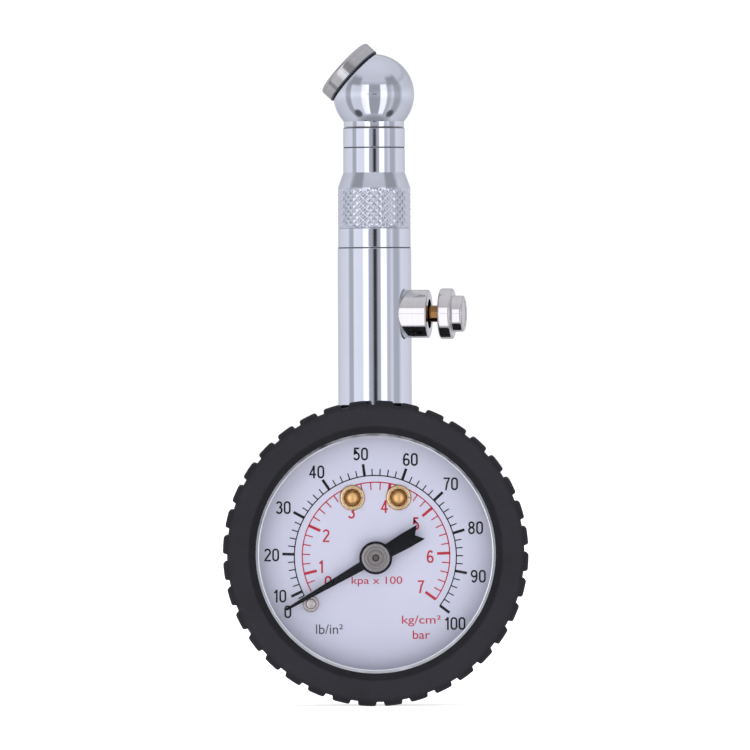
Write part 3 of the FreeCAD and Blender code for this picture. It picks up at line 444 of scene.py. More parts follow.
# The left window is wider above and below stem height, where the valve sees it.
WIDER_WINDOW_DEG = (-24.0, -15.0)
STEM_RISE = 0.008
WIDER_WINDOW_RISE = (0.013, 0.020)
WIDER_WINDOW_EDGE = 0.03
WIDER_WINDOW_LEVEL = 1.7
# Dark frames beside the windows' tops.
FRAME_DEG = (46.0, 76.0)
FRAME_SIDE_EDGE = 0.16
FRAME_RISE = (0.46, 0.66)
FRAME_EDGE = 0.12
FRAME_LEVEL = 0.46
# Away from stem height everything is a little darker.
OFF_RISE = (0.03, 0.22)
OFF_LEVEL = 0.84
# What the camera sees of the world; only reflections see the panels.
SEEN_BY_CAMERA = (1.05, 1.05, 1.05, 1)


class Sky(NodeTree):
    """The world's nodes, which carry brightness as plain numbers."""

    def __init__(self, name):
        world = bpy.data.worlds.new(name)
        bpy.context.scene.world = world
        super().__init__(world)

    def between(self, value, low, high, edge):
        """1 between two values, fading to 0 past them."""
        return self.band(value, low - edge, low, high, high + edge)

    def blend(self, share, first, second):
        inputs = {0: share, 2: first, 3: second}
        return self.add("ShaderNodeMix", inputs, data_type="FLOAT").outputs[0]

    def levels(self, share, stops):
        """Brightness along a ramp whose stops run from 0 to 1."""
        ramp = self.add("ShaderNodeValToRGB", {0: share})
        elements = ramp.color_ramp.elements
        while len(elements) < len(stops):
            elements.new(0.5)
        for element, (position, level) in zip(elements, stops):
            element.position = position
            element.color = (level / PEAK,) * 3 + (1,)
        return self.times(ramp.outputs["Color"], PEAK)


def window_panels(sky, angle, rise):
    """The bright panels all round, a little darker away from stem height."""
    around = sky.math("ADD", sky.math("DIVIDE", angle, 2 * math.pi), 0.5)
    panels = sky.levels(around, [(degrees / 360 + 0.5, level) for degrees, level in SURROUNDINGS])
    panels = sky.times(panels, sky.spread(sky.math("ABSOLUTE", rise), 1.0, OFF_LEVEL, *OFF_RISE))
    wider = sky.between(angle, *map(math.radians, WIDER_WINDOW_DEG), WIDER_WINDOW_EDGE)
    off_stem = sky.math("ABSOLUTE", sky.math("SUBTRACT", rise, STEM_RISE))
    wider = sky.times(wider, sky.spread(off_stem, 0.0, 1.0, *WIDER_WINDOW_RISE))
    return sky.blend(wider, panels, WIDER_WINDOW_LEVEL)


def make_world():
    """Soft studio surroundings: tall bright panels with grey between them."""
    sky = Sky("studio")
    direction = sky.add("ShaderNodeTexCoord").outputs["Generated"]
    split = sky.add("ShaderNodeSeparateXYZ", {0: direction})
    rise = split.outputs["Z"]
    toward = sky.times(split.outputs["Y"], -1.0)
    angle = sky.math("ARCTAN2", split.outputs["X"], toward)
    height = sky.math("ADD", sky.math("DIVIDE", rise, 2.0), 0.5)
    plain = sky.levels(height, [(sine / 2 + 0.5, level) for sine, level in SKY])
    windows = sky.between(rise, WINDOW_LOW, WINDOW_TOP, WINDOW_EDGE)
    level = sky.blend(windows, plain, window_panels(sky, angle, rise))
    off_strip = sky.math("SUBTRACT", angle, math.radians(DARK_STRIP_MIDDLE_DEG))
    off_strip = sky.math("ABSOLUTE", off_strip)
    strip = sky.spread(off_strip, 1.0, 0.0, *map(math.radians, DARK_STRIP_DEG))
    strip = sky.times(strip, sky.between(rise, *DARK_STRIP_RISE, DARK_STRIP_EDGE))
    level = sky.blend(strip, level, DARK_STRIP_LEVEL)
    half_turned = sky.math("ABSOLUTE", angle)
    frames = sky.between(half_turned, *map(math.radians, FRAME_DEG), FRAME_SIDE_EDGE)
    frames = sky.times(frames, sky.between(rise, *FRAME_RISE, FRAME_EDGE))
    level = sky.blend(frames, level, FRAME_LEVEL)
    for spot in DARK_SPOTS:
        facing = sky.vector("DOT_PRODUCT", direction, spot, output="Value")
        level = sky.blend(sky.spread(facing, 0.0, 1.0, *DARK_SPOT_COS), level, DARK_SPOT_LEVEL)
    colour = sky.add("ShaderNodeCombineColor", {
        index: sky.times(level, part) for index, part in enumerate(SKY_TINT)
    })
    seen = sky.add("ShaderNodeMix", {
        "Factor": sky.add("ShaderNodeLightPath").outputs["Is Camera Ray"],
        6: colour.outputs["Color"], 7: SEEN_BY_CAMERA,
    }, data_type="RGBA")
    sky.feed(sky.tree.nodes["Background"].inputs["Color"], seen.outputs[2])


FLOOR_GLOW = 0.75
FLOOR_HALF = 6.0


def make_floor():
    shader = Shader("floor_white", Roughness=0.9)
    shader.paint(shader.mottle(3.0), (0.93, 0.93, 0.93), (0.95, 0.95, 0.95))
    shader.into("Emission Color", (1, 1, 1, 1))
    shader.into("Emission Strength", FLOOR_GLOW)
    bm = bmesh.new()
    bmesh.ops.create_grid(bm, x_segments=8, y_segments=8, size=FLOOR_HALF)
    floor = finish_mesh("floor", bm)
    floor.data.materials.append(shader.material)
    floor.visible_glossy = False


LAMP_PLACE = Vector((0.0, -0.2, 1.6))
LAMP_SIDE = 2.0
LAMP_WATTS = 11.0


def make_lamp():
    """A broad lamp overhead, which no reflection shows."""
    data = bpy.data.lights.new("overhead", "AREA")
    data.size = LAMP_SIDE
    data.energy = LAMP_WATTS
    lamp = link_object("overhead", data)
    lamp.location = LAMP_PLACE
    aim = Vector((0, 0, 0)) - LAMP_PLACE
    lamp.rotation_euler = aim.to_track_quat("-Z", "Y").to_euler()
    lamp.visible_glossy = False


def make_camera():
    data = bpy.data.cameras.new("camera")
    data.lens = CAMERA_LENS_MM
    data.sensor_width = 36.0
    data.clip_start = 0.01
    camera = link_object("camera", data)
    camera.location = (CAMERA_X, -CAMERA_DISTANCE, CAMERA_HEIGHT)
    camera.rotation_euler = (math.radians(90), math.radians(CAMERA_ROLL_DEG), 0)
    bpy.context.scene.camera = camera
    bpy.context.scene.view_settings.view_transform = "Standard"


make_world()
make_floor()
make_camera()
make_lamp()


# --- Boot ---

LUG_COUNT = 36
LUG_HEIGHT = 0.85
FIRST_GROOVE_DEG = 1.5
SHOULDER_ROUND = 1.8
TREAD_R = BOOT_R / MM
HALF_DEPTH = (BOOT_HIGH.y - BOOT_LOW.y) / 2 / MM
FACE_R = 29.0
LIP_R = 23.95
LIP_SLOPE_R = 25.7
LIP_DEPTH = 1.4
CAVITY_R = 26.5
REAR_LIP_R = 22.0
CENTRE_GROOVE_HALF = 1.0
CENTRE_GROOVE_SLOPE = 0.15
BARREL_HOLE_R = 8.0
BARREL_HOLE_SPAN = (23, 33)
# Not a multiple of 4, so that no edge of the hole lies in the middle plane of a groove.
HOLE_SEGMENTS = 94


def boot_profile():
    """Section through a lug as (radius, depth towards the viewer), in millimetres."""
    floor_r = TREAD_R - LUG_HEIGHT
    groove = CENTRE_GROOVE_HALF
    return rounded([
        (LIP_SLOPE_R, HALF_DEPTH, 0.5),
        (TREAD_R, HALF_DEPTH, SHOULDER_ROUND),
        (TREAD_R, groove + CENTRE_GROOVE_SLOPE, 0.12),
        (floor_r, groove, 0.08),
        (floor_r, -groove, 0.08),
        (TREAD_R, -groove - CENTRE_GROOVE_SLOPE, 0.12),
        (TREAD_R, -HALF_DEPTH, SHOULDER_ROUND),
        (REAR_LIP_R, -HALF_DEPTH, 0.5),
        (REAR_LIP_R, LIP_DEPTH - HALF_DEPTH - 0.1, 0.2),
        (CAVITY_R, LIP_DEPTH - HALF_DEPTH, 0.2),
        (CAVITY_R, HALF_DEPTH - LIP_DEPTH, 0.2),
        (LIP_R, HALF_DEPTH - LIP_DEPTH, 0.2),
    ], steps=4)


def groove_floor(point):
    """Where a point of the lug's section lies at the bottom of a groove."""
    floor_r = TREAD_R - LUG_HEIGHT
    if point[0] <= FACE_R or abs(point[1]) <= CENTRE_GROOVE_HALF + 0.3:
        return Vector((min(point[0], floor_r), point[1]))
    share = (point[0] - FACE_R) / (TREAD_R - FACE_R)
    return Vector((FACE_R + share * (floor_r - FACE_R), point[1]))


# Across one lug pitch: degrees from the groove's middle, and how deep the groove is there.
HALF_GROOVE = [
    (1.2, 1.0), (1.34, 0.95), (1.42, 0.82), (1.5, 0.58), (1.62, 0.34), (1.78, 0.17),
    (2.0, 0.07), (2.3, 0.02), (2.7, 0.0), (3.6, 0.0),
]
OTHER_HALF = [(-degrees, depth) for degrees, depth in HALF_GROOVE[::-1]]
GROOVE_SHAPE = [(-5.0, 0.0), *OTHER_HALF, (0.0, 1.0), *HALF_GROOVE]


def make_boot():
    lug = boot_profile()
    carcass = [groove_floor(point) for point in lug]
    pitch = 360 / LUG_COUNT
    bm = bmesh.new()
    rings = []
    for number in range(LUG_COUNT):
        for degrees, depth in GROOVE_SHAPE:
            angle = math.radians(FIRST_GROOVE_DEG + number * pitch + degrees)
            ring = []
            for top, floor in zip(lug, carcass):
                point = top.lerp(floor, depth)
                x = point[0] * math.cos(angle)
                z = point[0] * math.sin(angle)
                ring.append(bm.verts.new(Vector((x, -point[1], z)) * MM + CASE_CENTRE))
            rings.append(ring)
    ring_faces(bm, rings)
    boot = finish_mesh("tyre_boot", bm, 40)
    low, high = BARREL_HOLE_SPAN
    outline = [(0, low), (BARREL_HOLE_R, low), (BARREL_HOLE_R, high), (0, high)]
    cutter = lathe("hole_cutter", outline, CASE_CENTRE, STEM_AXIS, HOLE_SEGMENTS)
    subtract(boot, cutter)
    dress(boot, "gauge_body", "boot_rubber", boot_rubber(), "boot")


# --- Chromed stem ---

CHROME = polished_chrome("stem_chrome", (0.63, 0.648, 0.70))
# Dark material for the stem's narrow joints and the cap's seat: painted shade there, with some grime.
JOINT_SHADE_AND_GRIME = even_surface("joint_shade_and_grime", 0.7, 1500.0, (0.035, 0.036, 0.045), (0.075, 0.078, 0.095),
                     (4000.0, 4.0, 0.00001, 0.4))
SEAM_ROUND = 0.06
SEAM_WIDTH = 0.2
SEAM_DEPTH = 0.14
# An extra row of points beside a rounded edge keeps the wall past it straight.
WALL_LOOP = 0.12
TURNED_SEGMENTS = 256
# Bores and spigots of the turned pieces. Heights count from the case centre.
BARREL_BORE_R = 4.75
BARREL_BORE_TOP = 36.1
PASSAGE_R = 3.0
BARREL_JOINT_R = 5.5
BARREL_SOCKET = 6.0
BARREL_SPIGOT = 5.5
CHAMBER_R = 3.6
CHAMBER_TOP = 68.0
THROAT_R = 1.5
CONE_TOP = 77.3
COLLAR_JOINT_R = 5.2
COLLAR_SOCKET = 4.9
COLLAR_SPIGOT = 3.0
COLLAR_HEIGHT = 4.0
COLLAR_BORE_R = 4.0


def height_of(z):
    """Millimetres above the case centre."""
    return (z - CASE_CENTRE.z) / MM


def measure(low, high):
    """A turned node's lower end, upper end and radius, from its box."""
    return height_of(low.z), height_of(high.z), (high.x - low.x) / 2 / MM


def seam_below(outer, top):
    """Corners of a narrow joint just below the top of a turned piece."""
    low = top - SEAM_WIDTH
    return [
        (outer, low - WALL_LOOP), (outer, low, SEAM_ROUND), (outer - SEAM_DEPTH, low),
        (outer - SEAM_DEPTH, top),
    ]


def dress_stem(piece, node, outer, low, high):
    """Chrome, with painted shade and some grime on the faces sunk below the wall between two heights."""
    piece.data.materials.append(CHROME)
    piece.data.materials.append(JOINT_SHADE_AND_GRIME)
    # Faces sunk in the joint take the dark joint material: painted shade.
    for face in piece.data.polygons:
        radius = math.hypot(face.center.x, face.center.y) / MM
        if radius < outer - SEAM_DEPTH / 3 and low < height_of(face.center.z) < high:
            face.material_index = 1
    dress(piece, "gauge_body", "stem_chrome", CHROME, node)


def make_barrel():
    low, top, outer = measure(*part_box("barrel"))
    socket = top - BARREL_SOCKET
    profile = rounded([
        (BARREL_BORE_R, low), (outer, low, 0.2), (outer, low + 0.4), *seam_below(outer, top),
        (BARREL_JOINT_R, top), (BARREL_JOINT_R, socket), (PASSAGE_R, socket),
        (PASSAGE_R, BARREL_BORE_TOP), (BARREL_BORE_R, BARREL_BORE_TOP),
    ], 4)
    piece = lathe("chromed_barrel", profile, CASE_CENTRE, STEM_AXIS, TURNED_SEGMENTS)
    dress_stem(piece, "barrel", outer, top - SEAM_WIDTH, top)


KNURL_LOW = 66.15
KNURL_HIGH = 74.05
KNURL_AROUND = 30
KNURL_RISE = 1.475
KNURL_DEPTH = 0.24
# How much steeper than its pitch a diamond's flank is, so that its top is flat.
KNURL_FLANK = 1.25
# The knurl fades at each end, over this part of its length.
KNURL_FADE = 1 / 12
RELIEF_WIDTH = 0.22
RELIEF_DEPTH = 0.15
STEPS_PER_DIAMOND = 14


def triangle_wave(turns):
    """0 at whole numbers, rising to 1 half-way between them."""
    return 2 * abs(turns - math.floor(turns + 0.5))


def make_upper_barrel():
    """Turned upper barrel with a rolled diamond knurl."""
    low = measure(*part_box("barrel"))[1]
    outer = measure(*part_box("upper_barrel"))[2]
    _, collar_top, neck = measure(*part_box("swivel_collar"))
    top = collar_top - COLLAR_HEIGHT
    spigot = low - BARREL_SPIGOT
    socket = top - COLLAR_SOCKET
    rows = round((KNURL_HIGH - KNURL_LOW) / KNURL_RISE * STEPS_PER_DIAMOND)
    relief = KNURL_LOW - RELIEF_WIDTH
    below = rounded([
        (BARREL_JOINT_R, spigot), (BARREL_JOINT_R, low), (outer, low, SEAM_ROUND),
        (outer, low + WALL_LOOP), (outer, relief - WALL_LOOP), (outer, relief, SEAM_ROUND),
        (outer - RELIEF_DEPTH, relief), (outer - RELIEF_DEPTH, KNURL_LOW),
    ])[:-1]
    above = rounded([
        (outer - RELIEF_DEPTH, KNURL_HIGH), (outer, KNURL_HIGH + 0.15, 0.1), (neck, CONE_TOP, 0.1),
        (neck, CONE_TOP + WALL_LOOP), *seam_below(neck, top),
        (COLLAR_JOINT_R, top), (COLLAR_JOINT_R, socket), (THROAT_R, socket),
        (THROAT_R, CHAMBER_TOP), (CHAMBER_R, CHAMBER_TOP), (CHAMBER_R, spigot),
    ])[1:]
    bm = bmesh.new()
    columns = KNURL_AROUND * STEPS_PER_DIAMOND
    rings = []
    for column in range(columns):
        angle = 2 * math.pi * column / columns
        around = column / STEPS_PER_DIAMOND
        section = below[:]
        for row in range(rows + 1):
            share = row / rows
            height = KNURL_LOW + share * (KNURL_HIGH - KNURL_LOW)
            rise = (height - KNURL_LOW) / KNURL_RISE
            peak = min(triangle_wave(around + rise), triangle_wave(around - rise))
            fade = min(1.0, share / KNURL_FADE, (1 - share) / KNURL_FADE)
            cut = KNURL_DEPTH * fade * (1 - min(1.0, KNURL_FLANK * peak))
            section.append((outer - cut, height))
        rings.append(turned_ring(bm, section + above, angle, Matrix.Translation(CASE_CENTRE)))
    ring_faces(bm, rings)
    piece = finish_mesh("knurled_barrel", bm, 34)
    dress_stem(piece, "upper_barrel", neck, top - SEAM_WIDTH, top)


def make_collar():
    _, top, outer = measure(*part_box("swivel_collar"))
    low = top - COLLAR_HEIGHT
    spigot = low - COLLAR_SPIGOT
    profile = rounded([
        (COLLAR_BORE_R, spigot), (COLLAR_JOINT_R, spigot), (COLLAR_JOINT_R, low),
        (outer, low, SEAM_ROUND), (outer, low + WALL_LOOP), *seam_below(outer, top),
        (COLLAR_BORE_R, top),
    ], 4)
    piece = lathe("chromed_collar", profile, CASE_CENTRE, STEM_AXIS, TURNED_SEGMENTS)
    dress_stem(piece, "swivel_collar", outer, top - SEAM_WIDTH, top + SEAM_WIDTH / 4)


BALL_R = 8.25
BALL_NECK_R = 6.15
FOOT_FLAT = 5.2
FOOT_SOCKET_R = 5.4
FOOT_SOCKET_FLOOR = 1.7
BALL_ARC_STEPS = 120


def make_ball_head():
    """Ball on its neck, cut flat and bored for the angled foot."""
    neck_low = (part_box("ball_head")[0].z - BALL_CENTRE.z) / MM
    junction = -math.sqrt(BALL_R ** 2 - BALL_NECK_R ** 2)
    start = math.atan2(junction, BALL_NECK_R)
    corners = [(0, neck_low), (BALL_NECK_R, neck_low, SEAM_ROUND), (BALL_NECK_R, junction)]
    profile = rounded(corners, 4)[:-1]
    for step in range(BALL_ARC_STEPS + 1):
        angle = start + (math.pi / 2 - start) * step / BALL_ARC_STEPS
        profile.append((BALL_R * math.cos(angle), BALL_R * math.sin(angle)))
    bm = bmesh.new()
    rings = turned_rings(bm, profile, TURNED_SEGMENTS, Matrix.Translation(BALL_CENTRE))
    for ring, following in zip(rings, rings[1:] + rings[:1]):
        for low in range(len(ring) - 1):
            bm.faces.new([ring[low], following[low], following[low + 1], ring[low + 1]])
    bmesh.ops.remove_doubles(bm, verts=bm.verts, dist=1e-7)
    bmesh.ops.bisect_plane(
        bm, geom=bm.verts[:] + bm.edges[:] + bm.faces[:],
        plane_co=BALL_CENTRE + FOOT_AXIS * FOOT_FLAT * MM, plane_no=FOOT_AXIS, clear_outer=True,
    )
    rim = [edge for edge in bm.edges if edge.is_boundary]
    for radius, depth in ((FOOT_SOCKET_R, FOOT_FLAT), (FOOT_SOCKET_R, FOOT_SOCKET_FLOOR)):
        centre = BALL_CENTRE + FOOT_AXIS * depth * MM
        made = bmesh.ops.extrude_edge_only(bm, edges=rim)["geom"]
        for vertex in (item for item in made if isinstance(item, bmesh.types.BMVert)):
            offset = vertex.co - BALL_CENTRE
            offset -= FOOT_AXIS * offset.dot(FOOT_AXIS)
            vertex.co = centre + offset.normalized() * radius * MM
        rim = [item for item in made if isinstance(item, bmesh.types.BMEdge)
               and item.is_boundary]
    bmesh.ops.contextual_create(bm, geom=rim)
    piece = finish_mesh("chromed_ball", bm, 25)
    dress(piece, "chuck_head", "stem_chrome", CHROME, "ball_head")


# Heights on the cap count from the ball's centre.
CAP_R = 6.7
CAP_BORE_R = 4.1
CAP_MOUTH_R = 4.45
CAP_SPIGOT_R = 5.4
CAP_SPIGOT_END = 3.3
CAP_SEAT = 5.4
# Where the cap's painted shadow band next to the ball ends.
CAP_SHADE_END = 5.68


def make_chuck_cap():
    """Disc-shaped cap that screws into the ball, with a chamfered mouth."""
    face = (Vector(MOUTH["pos_m"]) - BALL_CENTRE).dot(FOOT_AXIS) / MM
    profile = rounded([
        (CAP_BORE_R, CAP_SPIGOT_END), (CAP_SPIGOT_R, CAP_SPIGOT_END), (CAP_SPIGOT_R, CAP_SEAT),
        (CAP_R, CAP_SEAT, 0.2), (CAP_R, CAP_SHADE_END), (CAP_R, CAP_SHADE_END + 0.1),
        (CAP_R, face - 0.8), (CAP_R, face, 0.62), (CAP_MOUTH_R, face, 0.15),
        (CAP_BORE_R, face - 0.35, 0.1),
    ])
    piece = lathe("nickel_chuck_cap", profile, BALL_CENTRE, FOOT_AXIS, 192)
    metal = turned_metal("cap_nickel", BALL_CENTRE, FOOT_AXIS,
                         (0.37, 0.36, 0.355), (0.52, 0.51, 0.50), 0.10)
    piece.data.materials.append(metal)
    piece.data.materials.append(JOINT_SHADE_AND_GRIME)
    # The cap's side just past its seat takes the dark joint material: a painted shadow line between the cap and
    # the ball.
    for polygon in piece.data.polygons:
        height = (polygon.center - BALL_CENTRE).dot(FOOT_AXIS) / MM
        polygon.material_index = int(CAP_SEAT - 0.05 < height < CAP_SHADE_END)
    dress(piece, "chuck_head", "satin_nickel", metal, "chuck_cap")


# Heights on the button count from the stem's axis.
PUSH_BORE_R = 1.25
PUSH_BORE_END = 16.8
FLANGE_R = 5.15
FLANGE_LOW = 13.55
FLANGE_TOP = 16.25
FLANGE_ROUND = 0.45
PUSH_R = 3.68
PUSH_END = 18.5
DISH_R = 2.6
DISH_FLOOR = 18.32
VALVE_NICKEL = turned_metal(
    "valve_nickel", VALVE_ORIGIN, VALVE_AXIS, (0.55, 0.53, 0.51), (0.64, 0.62, 0.60), 0.09,
    depth=0.0000004,
)


def make_bleed_button():
    """Stepped push button with rounded edges and a recessed ring on its end."""
    profile = rounded([
        (0.0, PUSH_BORE_END), (PUSH_BORE_R, PUSH_BORE_END), (PUSH_BORE_R, FLANGE_LOW),
        (FLANGE_R, FLANGE_LOW, FLANGE_ROUND), (FLANGE_R, FLANGE_LOW + 0.55),
        (FLANGE_R, FLANGE_TOP - 0.55), (FLANGE_R, FLANGE_TOP, FLANGE_ROUND),
        (PUSH_R, FLANGE_TOP, 0.12), (PUSH_R, FLANGE_TOP + 0.3), (PUSH_R, PUSH_END - 0.6),
        (PUSH_R, PUSH_END, 0.5), (DISH_R + 0.15, PUSH_END, 0.1), (DISH_R, DISH_FLOOR, 0.1),
        (0.0, DISH_FLOOR),
    ])
    piece = lathe("nickel_button", profile, VALVE_ORIGIN, VALVE_AXIS, 160)
    dress(piece, "bleed_plunger", "satin_nickel", VALVE_NICKEL, "bleed_button")


# --- Valve springs ---

SPRING_WIRE_R = 0.2
CHECK_SPRING_TURNS = 6
BLEED_SPRING_R = 1.4
BLEED_SPRING_TURNS = 2
BLEED_SPRING_ENDS = (7.7, 10.9)
STEPS_PER_TURN = 24
WIRE_SIDES = 10


def coil(name, origin, axis, centre_r, ends, turns):
    """Helix of round wire between two heights along an axis, in millimetres."""
    bm = bmesh.new()
    place = axis_frame(origin, axis)
    low, high = ends
    rise = high - low - 2 * SPRING_WIRE_R
    steps = turns * STEPS_PER_TURN
    rings = []
    for step in range(steps + 1):
        share = step / steps
        turn = Matrix.Rotation(2 * math.pi * turns * share, 3, "Z")
        lift = Vector((0, 0, low + SPRING_WIRE_R + rise * share))
        ring = []
        for side in range(WIRE_SIDES):
            angle = 2 * math.pi * side / WIRE_SIDES
            across = centre_r + SPRING_WIRE_R * math.cos(angle)
            point = turn @ Vector((across, 0, SPRING_WIRE_R * math.sin(angle))) + lift
            ring.append(bm.verts.new(place @ (point * MM)))
        rings.append(ring)
    ring_faces(bm, rings, closed_rings=False)
    bm.faces.new(rings[0])
    bm.faces.new(rings[-1][::-1])
    return finish_mesh(name, bm, 50)


def make_springs():
    """The two valves' springs, as coils of round wire."""
    low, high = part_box("check_spring")
    check_r = (high.x - low.x) / 2 / MM - SPRING_WIRE_R
    check_ends = (low.z / MM, high.z / MM)
    for node, body, origin, axis, centre_r, ends, turns in (
        ("check_spring", "check_poppet", Vector((0, 0, 0)), STEM_AXIS, check_r, check_ends,
         CHECK_SPRING_TURNS),
        ("bleed_spring", "bleed_plunger", VALVE_ORIGIN, VALVE_AXIS, BLEED_SPRING_R,
         BLEED_SPRING_ENDS, BLEED_SPRING_TURNS),
    ):
        piece = coil(node + "_wire", origin, axis, centre_r, ends, turns)
        piece.data.materials.append(NODES[node].data.materials[0])
        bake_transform(piece)
        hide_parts(node)


# --- Dial screws ---

SCREW_X = 4.7
SCREW_DOME_R = 1.6
SCREW_DOME = 1.1
WASHER_R = 2.6
WASHER_BORE_R = 1.0
WASHER_TOP = 0.5
WASHER_GAP = 0.16
WASHER_STEP_R = 1.62
WASHER_STEP = 0.15
SCREW_END = 4.0
SHANK_R = 0.9
DOME_STEPS = 12


def screw_brass(centre_z):
    """Lacquered brass, with painted shade round the dome's rim and on the washer's outer edge."""
    shader = Shader("screw_brass", Metallic=1.0, Roughness=0.22)
    split = shader.add("ShaderNodeSeparateXYZ", {0: shader.place()})
    across = shader.math("SUBTRACT", shader.math("ABSOLUTE", split.outputs["X"]), SCREW_X * MM)
    up = shader.math("SUBTRACT", split.outputs["Z"], centre_z)
    flat = shader.add("ShaderNodeCombineXYZ", {"X": across, "Y": up}).outputs["Vector"]
    radius = shader.times(shader.vector("LENGTH", flat, output="Value"), 1 / MM)
    marks = shader.noise(1400.0, detail=3.0)
    bare_brass = shader.mix(shader.spread(marks, 0.0, 1.0), (0.93, 0.62, 0.30), (1.0, 0.80, 0.50))
    # Darker round the dome's rim and on the washer's outer edge: painted shade.
    in_corner = shader.band(radius, 0.85, 1.45, 1.68, 1.9)
    at_edge = shader.spread(radius, 0.0, 0.8, 2.38, 2.56)
    painted_screw_shade = shader.times(shader.math("MAXIMUM", in_corner, at_edge),
                        shader.spread(shader.noise(900.0), 0.75, 1.0))
    on_dome = shader.spread(radius, 0.8, 0.0, 1.2, 1.6)
    warm = shader.mix(on_dome, bare_brass, (1.0, 0.56, 0.20))
    shader.paint(painted_screw_shade, warm, (0.50, 0.21, 0.03))
    rough = shader.spread(marks, 0.20, 0.34)
    shader.into("Roughness", shader.math("ADD", rough, shader.times(on_dome, 0.12)))
    shader.bump(marks, 0.000004, 0.5)
    return shader.material


def make_dial_screws():
    """Two domed screws on split washers with rolled edges."""
    centre_z = middle(*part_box("dial_screws")).z
    brass = screw_brass(centre_z)
    dome = [(0.0, -SCREW_END), (SHANK_R, -SCREW_END), (SHANK_R, WASHER_TOP),
            (SCREW_DOME_R, WASHER_TOP)]
    for step in range(1, DOME_STEPS + 1):
        angle = math.pi / 2 * step / DOME_STEPS
        dome.append((SCREW_DOME_R * math.cos(angle), WASHER_TOP + SCREW_DOME * math.sin(angle)))
    step_top = WASHER_TOP - WASHER_STEP
    ring = rounded([
        (WASHER_BORE_R, 0.0), (WASHER_R, 0.0), (WASHER_R, WASHER_TOP, 0.42),
        (WASHER_STEP_R + 0.1, WASHER_TOP, 0.2), (WASHER_STEP_R, step_top),
        (WASHER_BORE_R, step_top),
    ], 6)
    for side, label in ((-1, "left"), (1, "right")):
        origin = Vector((side * SCREW_X * MM, DIAL_FRONT_Y, centre_z))
        screw = lathe("dial_screw_" + label, dome, origin, -DEPTH_AXIS, 96)
        dress(screw, "gauge_body", "brass", brass, "dial_screws")
        washer = lathe("split_washer_" + label, ring, origin, -DEPTH_AXIS, 96)
        cut_gap(washer, origin)
        dress(washer, "gauge_body", "brass", brass, "dial_screw_washers")


def cut_gap(washer, origin):
    """Opens the split in a washer, on its right."""
    bm = bmesh.new()
    half = WASHER_GAP / 2 * MM
    left = [(origin.x, origin.z + z) for z in (-half, half)]
    right = [(origin.x + 2 * WASHER_R * MM, origin.z + z) for z in (half, -half)]
    prism(bm, left + right, origin.y - 2 * MM, origin.y + 1 * MM)
    cutter = finish_mesh("gap_cutter", bm)
    subtract(washer, cutter)


# --- Dial print ---

INK_THICKNESS = 0.012
PSI_ZERO_DEG = 205.2
PSI_STEP_DEG = 26.96
PSI_R = 16.45
PSI_MAJOR_R = 18.9
PSI_MINOR_R = 17.8
PSI_NUMBER_R = 21.15
BAR_ZERO_DEG = 232.1
BAR_STEP_DEG = 38.34
BAR_R = 14.98
BAR_MAJOR_R = 12.4
BAR_MINOR_R = 13.4
BAR_NUMBER_R = 10.85
PSI_SHIFT = (-0.08, 0.26)
BAR_SHIFT = (0.06, 0.36)
LINE = 0.24
THICK_LINE = 0.56
ARC_START_DEG = 208.5
# Ticks of each scale, five to a numbered step, counted from its zero.
PSI_TICKS = range(46)
BAR_TICKS = range(4, 36)
# Numbers that stand off their place, by how much in millimetres.
PSI_NUDGES = {
    10: (-0.35, 1.3), 30: (-0.2, 0.1), 50: (-0.3, 0.1), 70: (-0.1, 0.4), 100: (-0.75, -0.55),
}
BAR_NUDGES = {
    1: (-0.55, 0.8), 2: (-0.2, 0.0), 3: (0.05, -0.4), 4: (-0.35, -0.25), 5: (-0.1, -0.15),
    6: (0.2, -0.2), 7: (0.35, 0.5),
}
NUMBER_HEIGHT = 2.62
WORD_WEIGHT = 0.004
WORD_CURVE_STEPS = 8


def polar(radius, degrees):
    angle = math.radians(degrees)
    return radius * math.cos(angle), radius * math.sin(angle)


def on_dial(points):
    """From millimetres about the pointer's axis to the frame's (x, z)."""
    return [(x * MM, PIVOT.z + z * MM) for x, z in points]


def bow(centre_x, centre_y, radius_x, radius_y, from_deg, to_deg, steps=20):
    """Points along part of an ellipse."""
    points = []
    for step in range(steps + 1):
        angle = math.radians(from_deg + (to_deg - from_deg) * step / steps)
        along, up = radius_x * math.cos(angle), radius_y * math.sin(angle)
        points.append((centre_x + along, centre_y + up))
    return points


def arc_outline(radius, width, *span):
    inner, outer = (bow(0, 0, r, r, *span, 96) for r in (radius - width / 2, radius + width / 2))
    return outer + inner[::-1]


def tick_outline(from_r, to_r, width, degrees):
    along = Vector(polar(1, degrees))
    across = Vector((-along.y, along.x)) * width / 2
    near, far = along * from_r, along * to_r
    return [near - across, far - across, far + across, near + across]


def finish_print(name, bm, material):
    dress(finish_mesh(name, bm, 20), "gauge_body", "pointer_black", material)


def print_scale(name, outlines, shift, material):
    """Arc and ticks of one scale, set off from the pointer's axis as they are printed."""
    bm = bmesh.new()
    for outline in outlines:
        moved = [(x + shift[0], z + shift[1]) for x, z in outline]
        prism(bm, on_dial(moved), DIAL_FRONT_Y - INK_THICKNESS * MM, DIAL_FRONT_Y)
    finish_print(name, bm, material)


def scale_outlines(arc_r, major_r, minor_r, zero_deg, step_deg, ticks):
    """The arc of one scale and its ticks, every fifth of them long and thick."""
    last = zero_deg - ticks[-1] * step_deg / 5
    outlines = [arc_outline(arc_r, LINE, ARC_START_DEG, last)]
    for tick in ticks:
        width, reach = (LINE, minor_r) if tick % 5 else (THICK_LINE, major_r)
        outlines.append(tick_outline(arc_r, reach, width, zero_deg - tick * step_deg / 5))
    return outlines


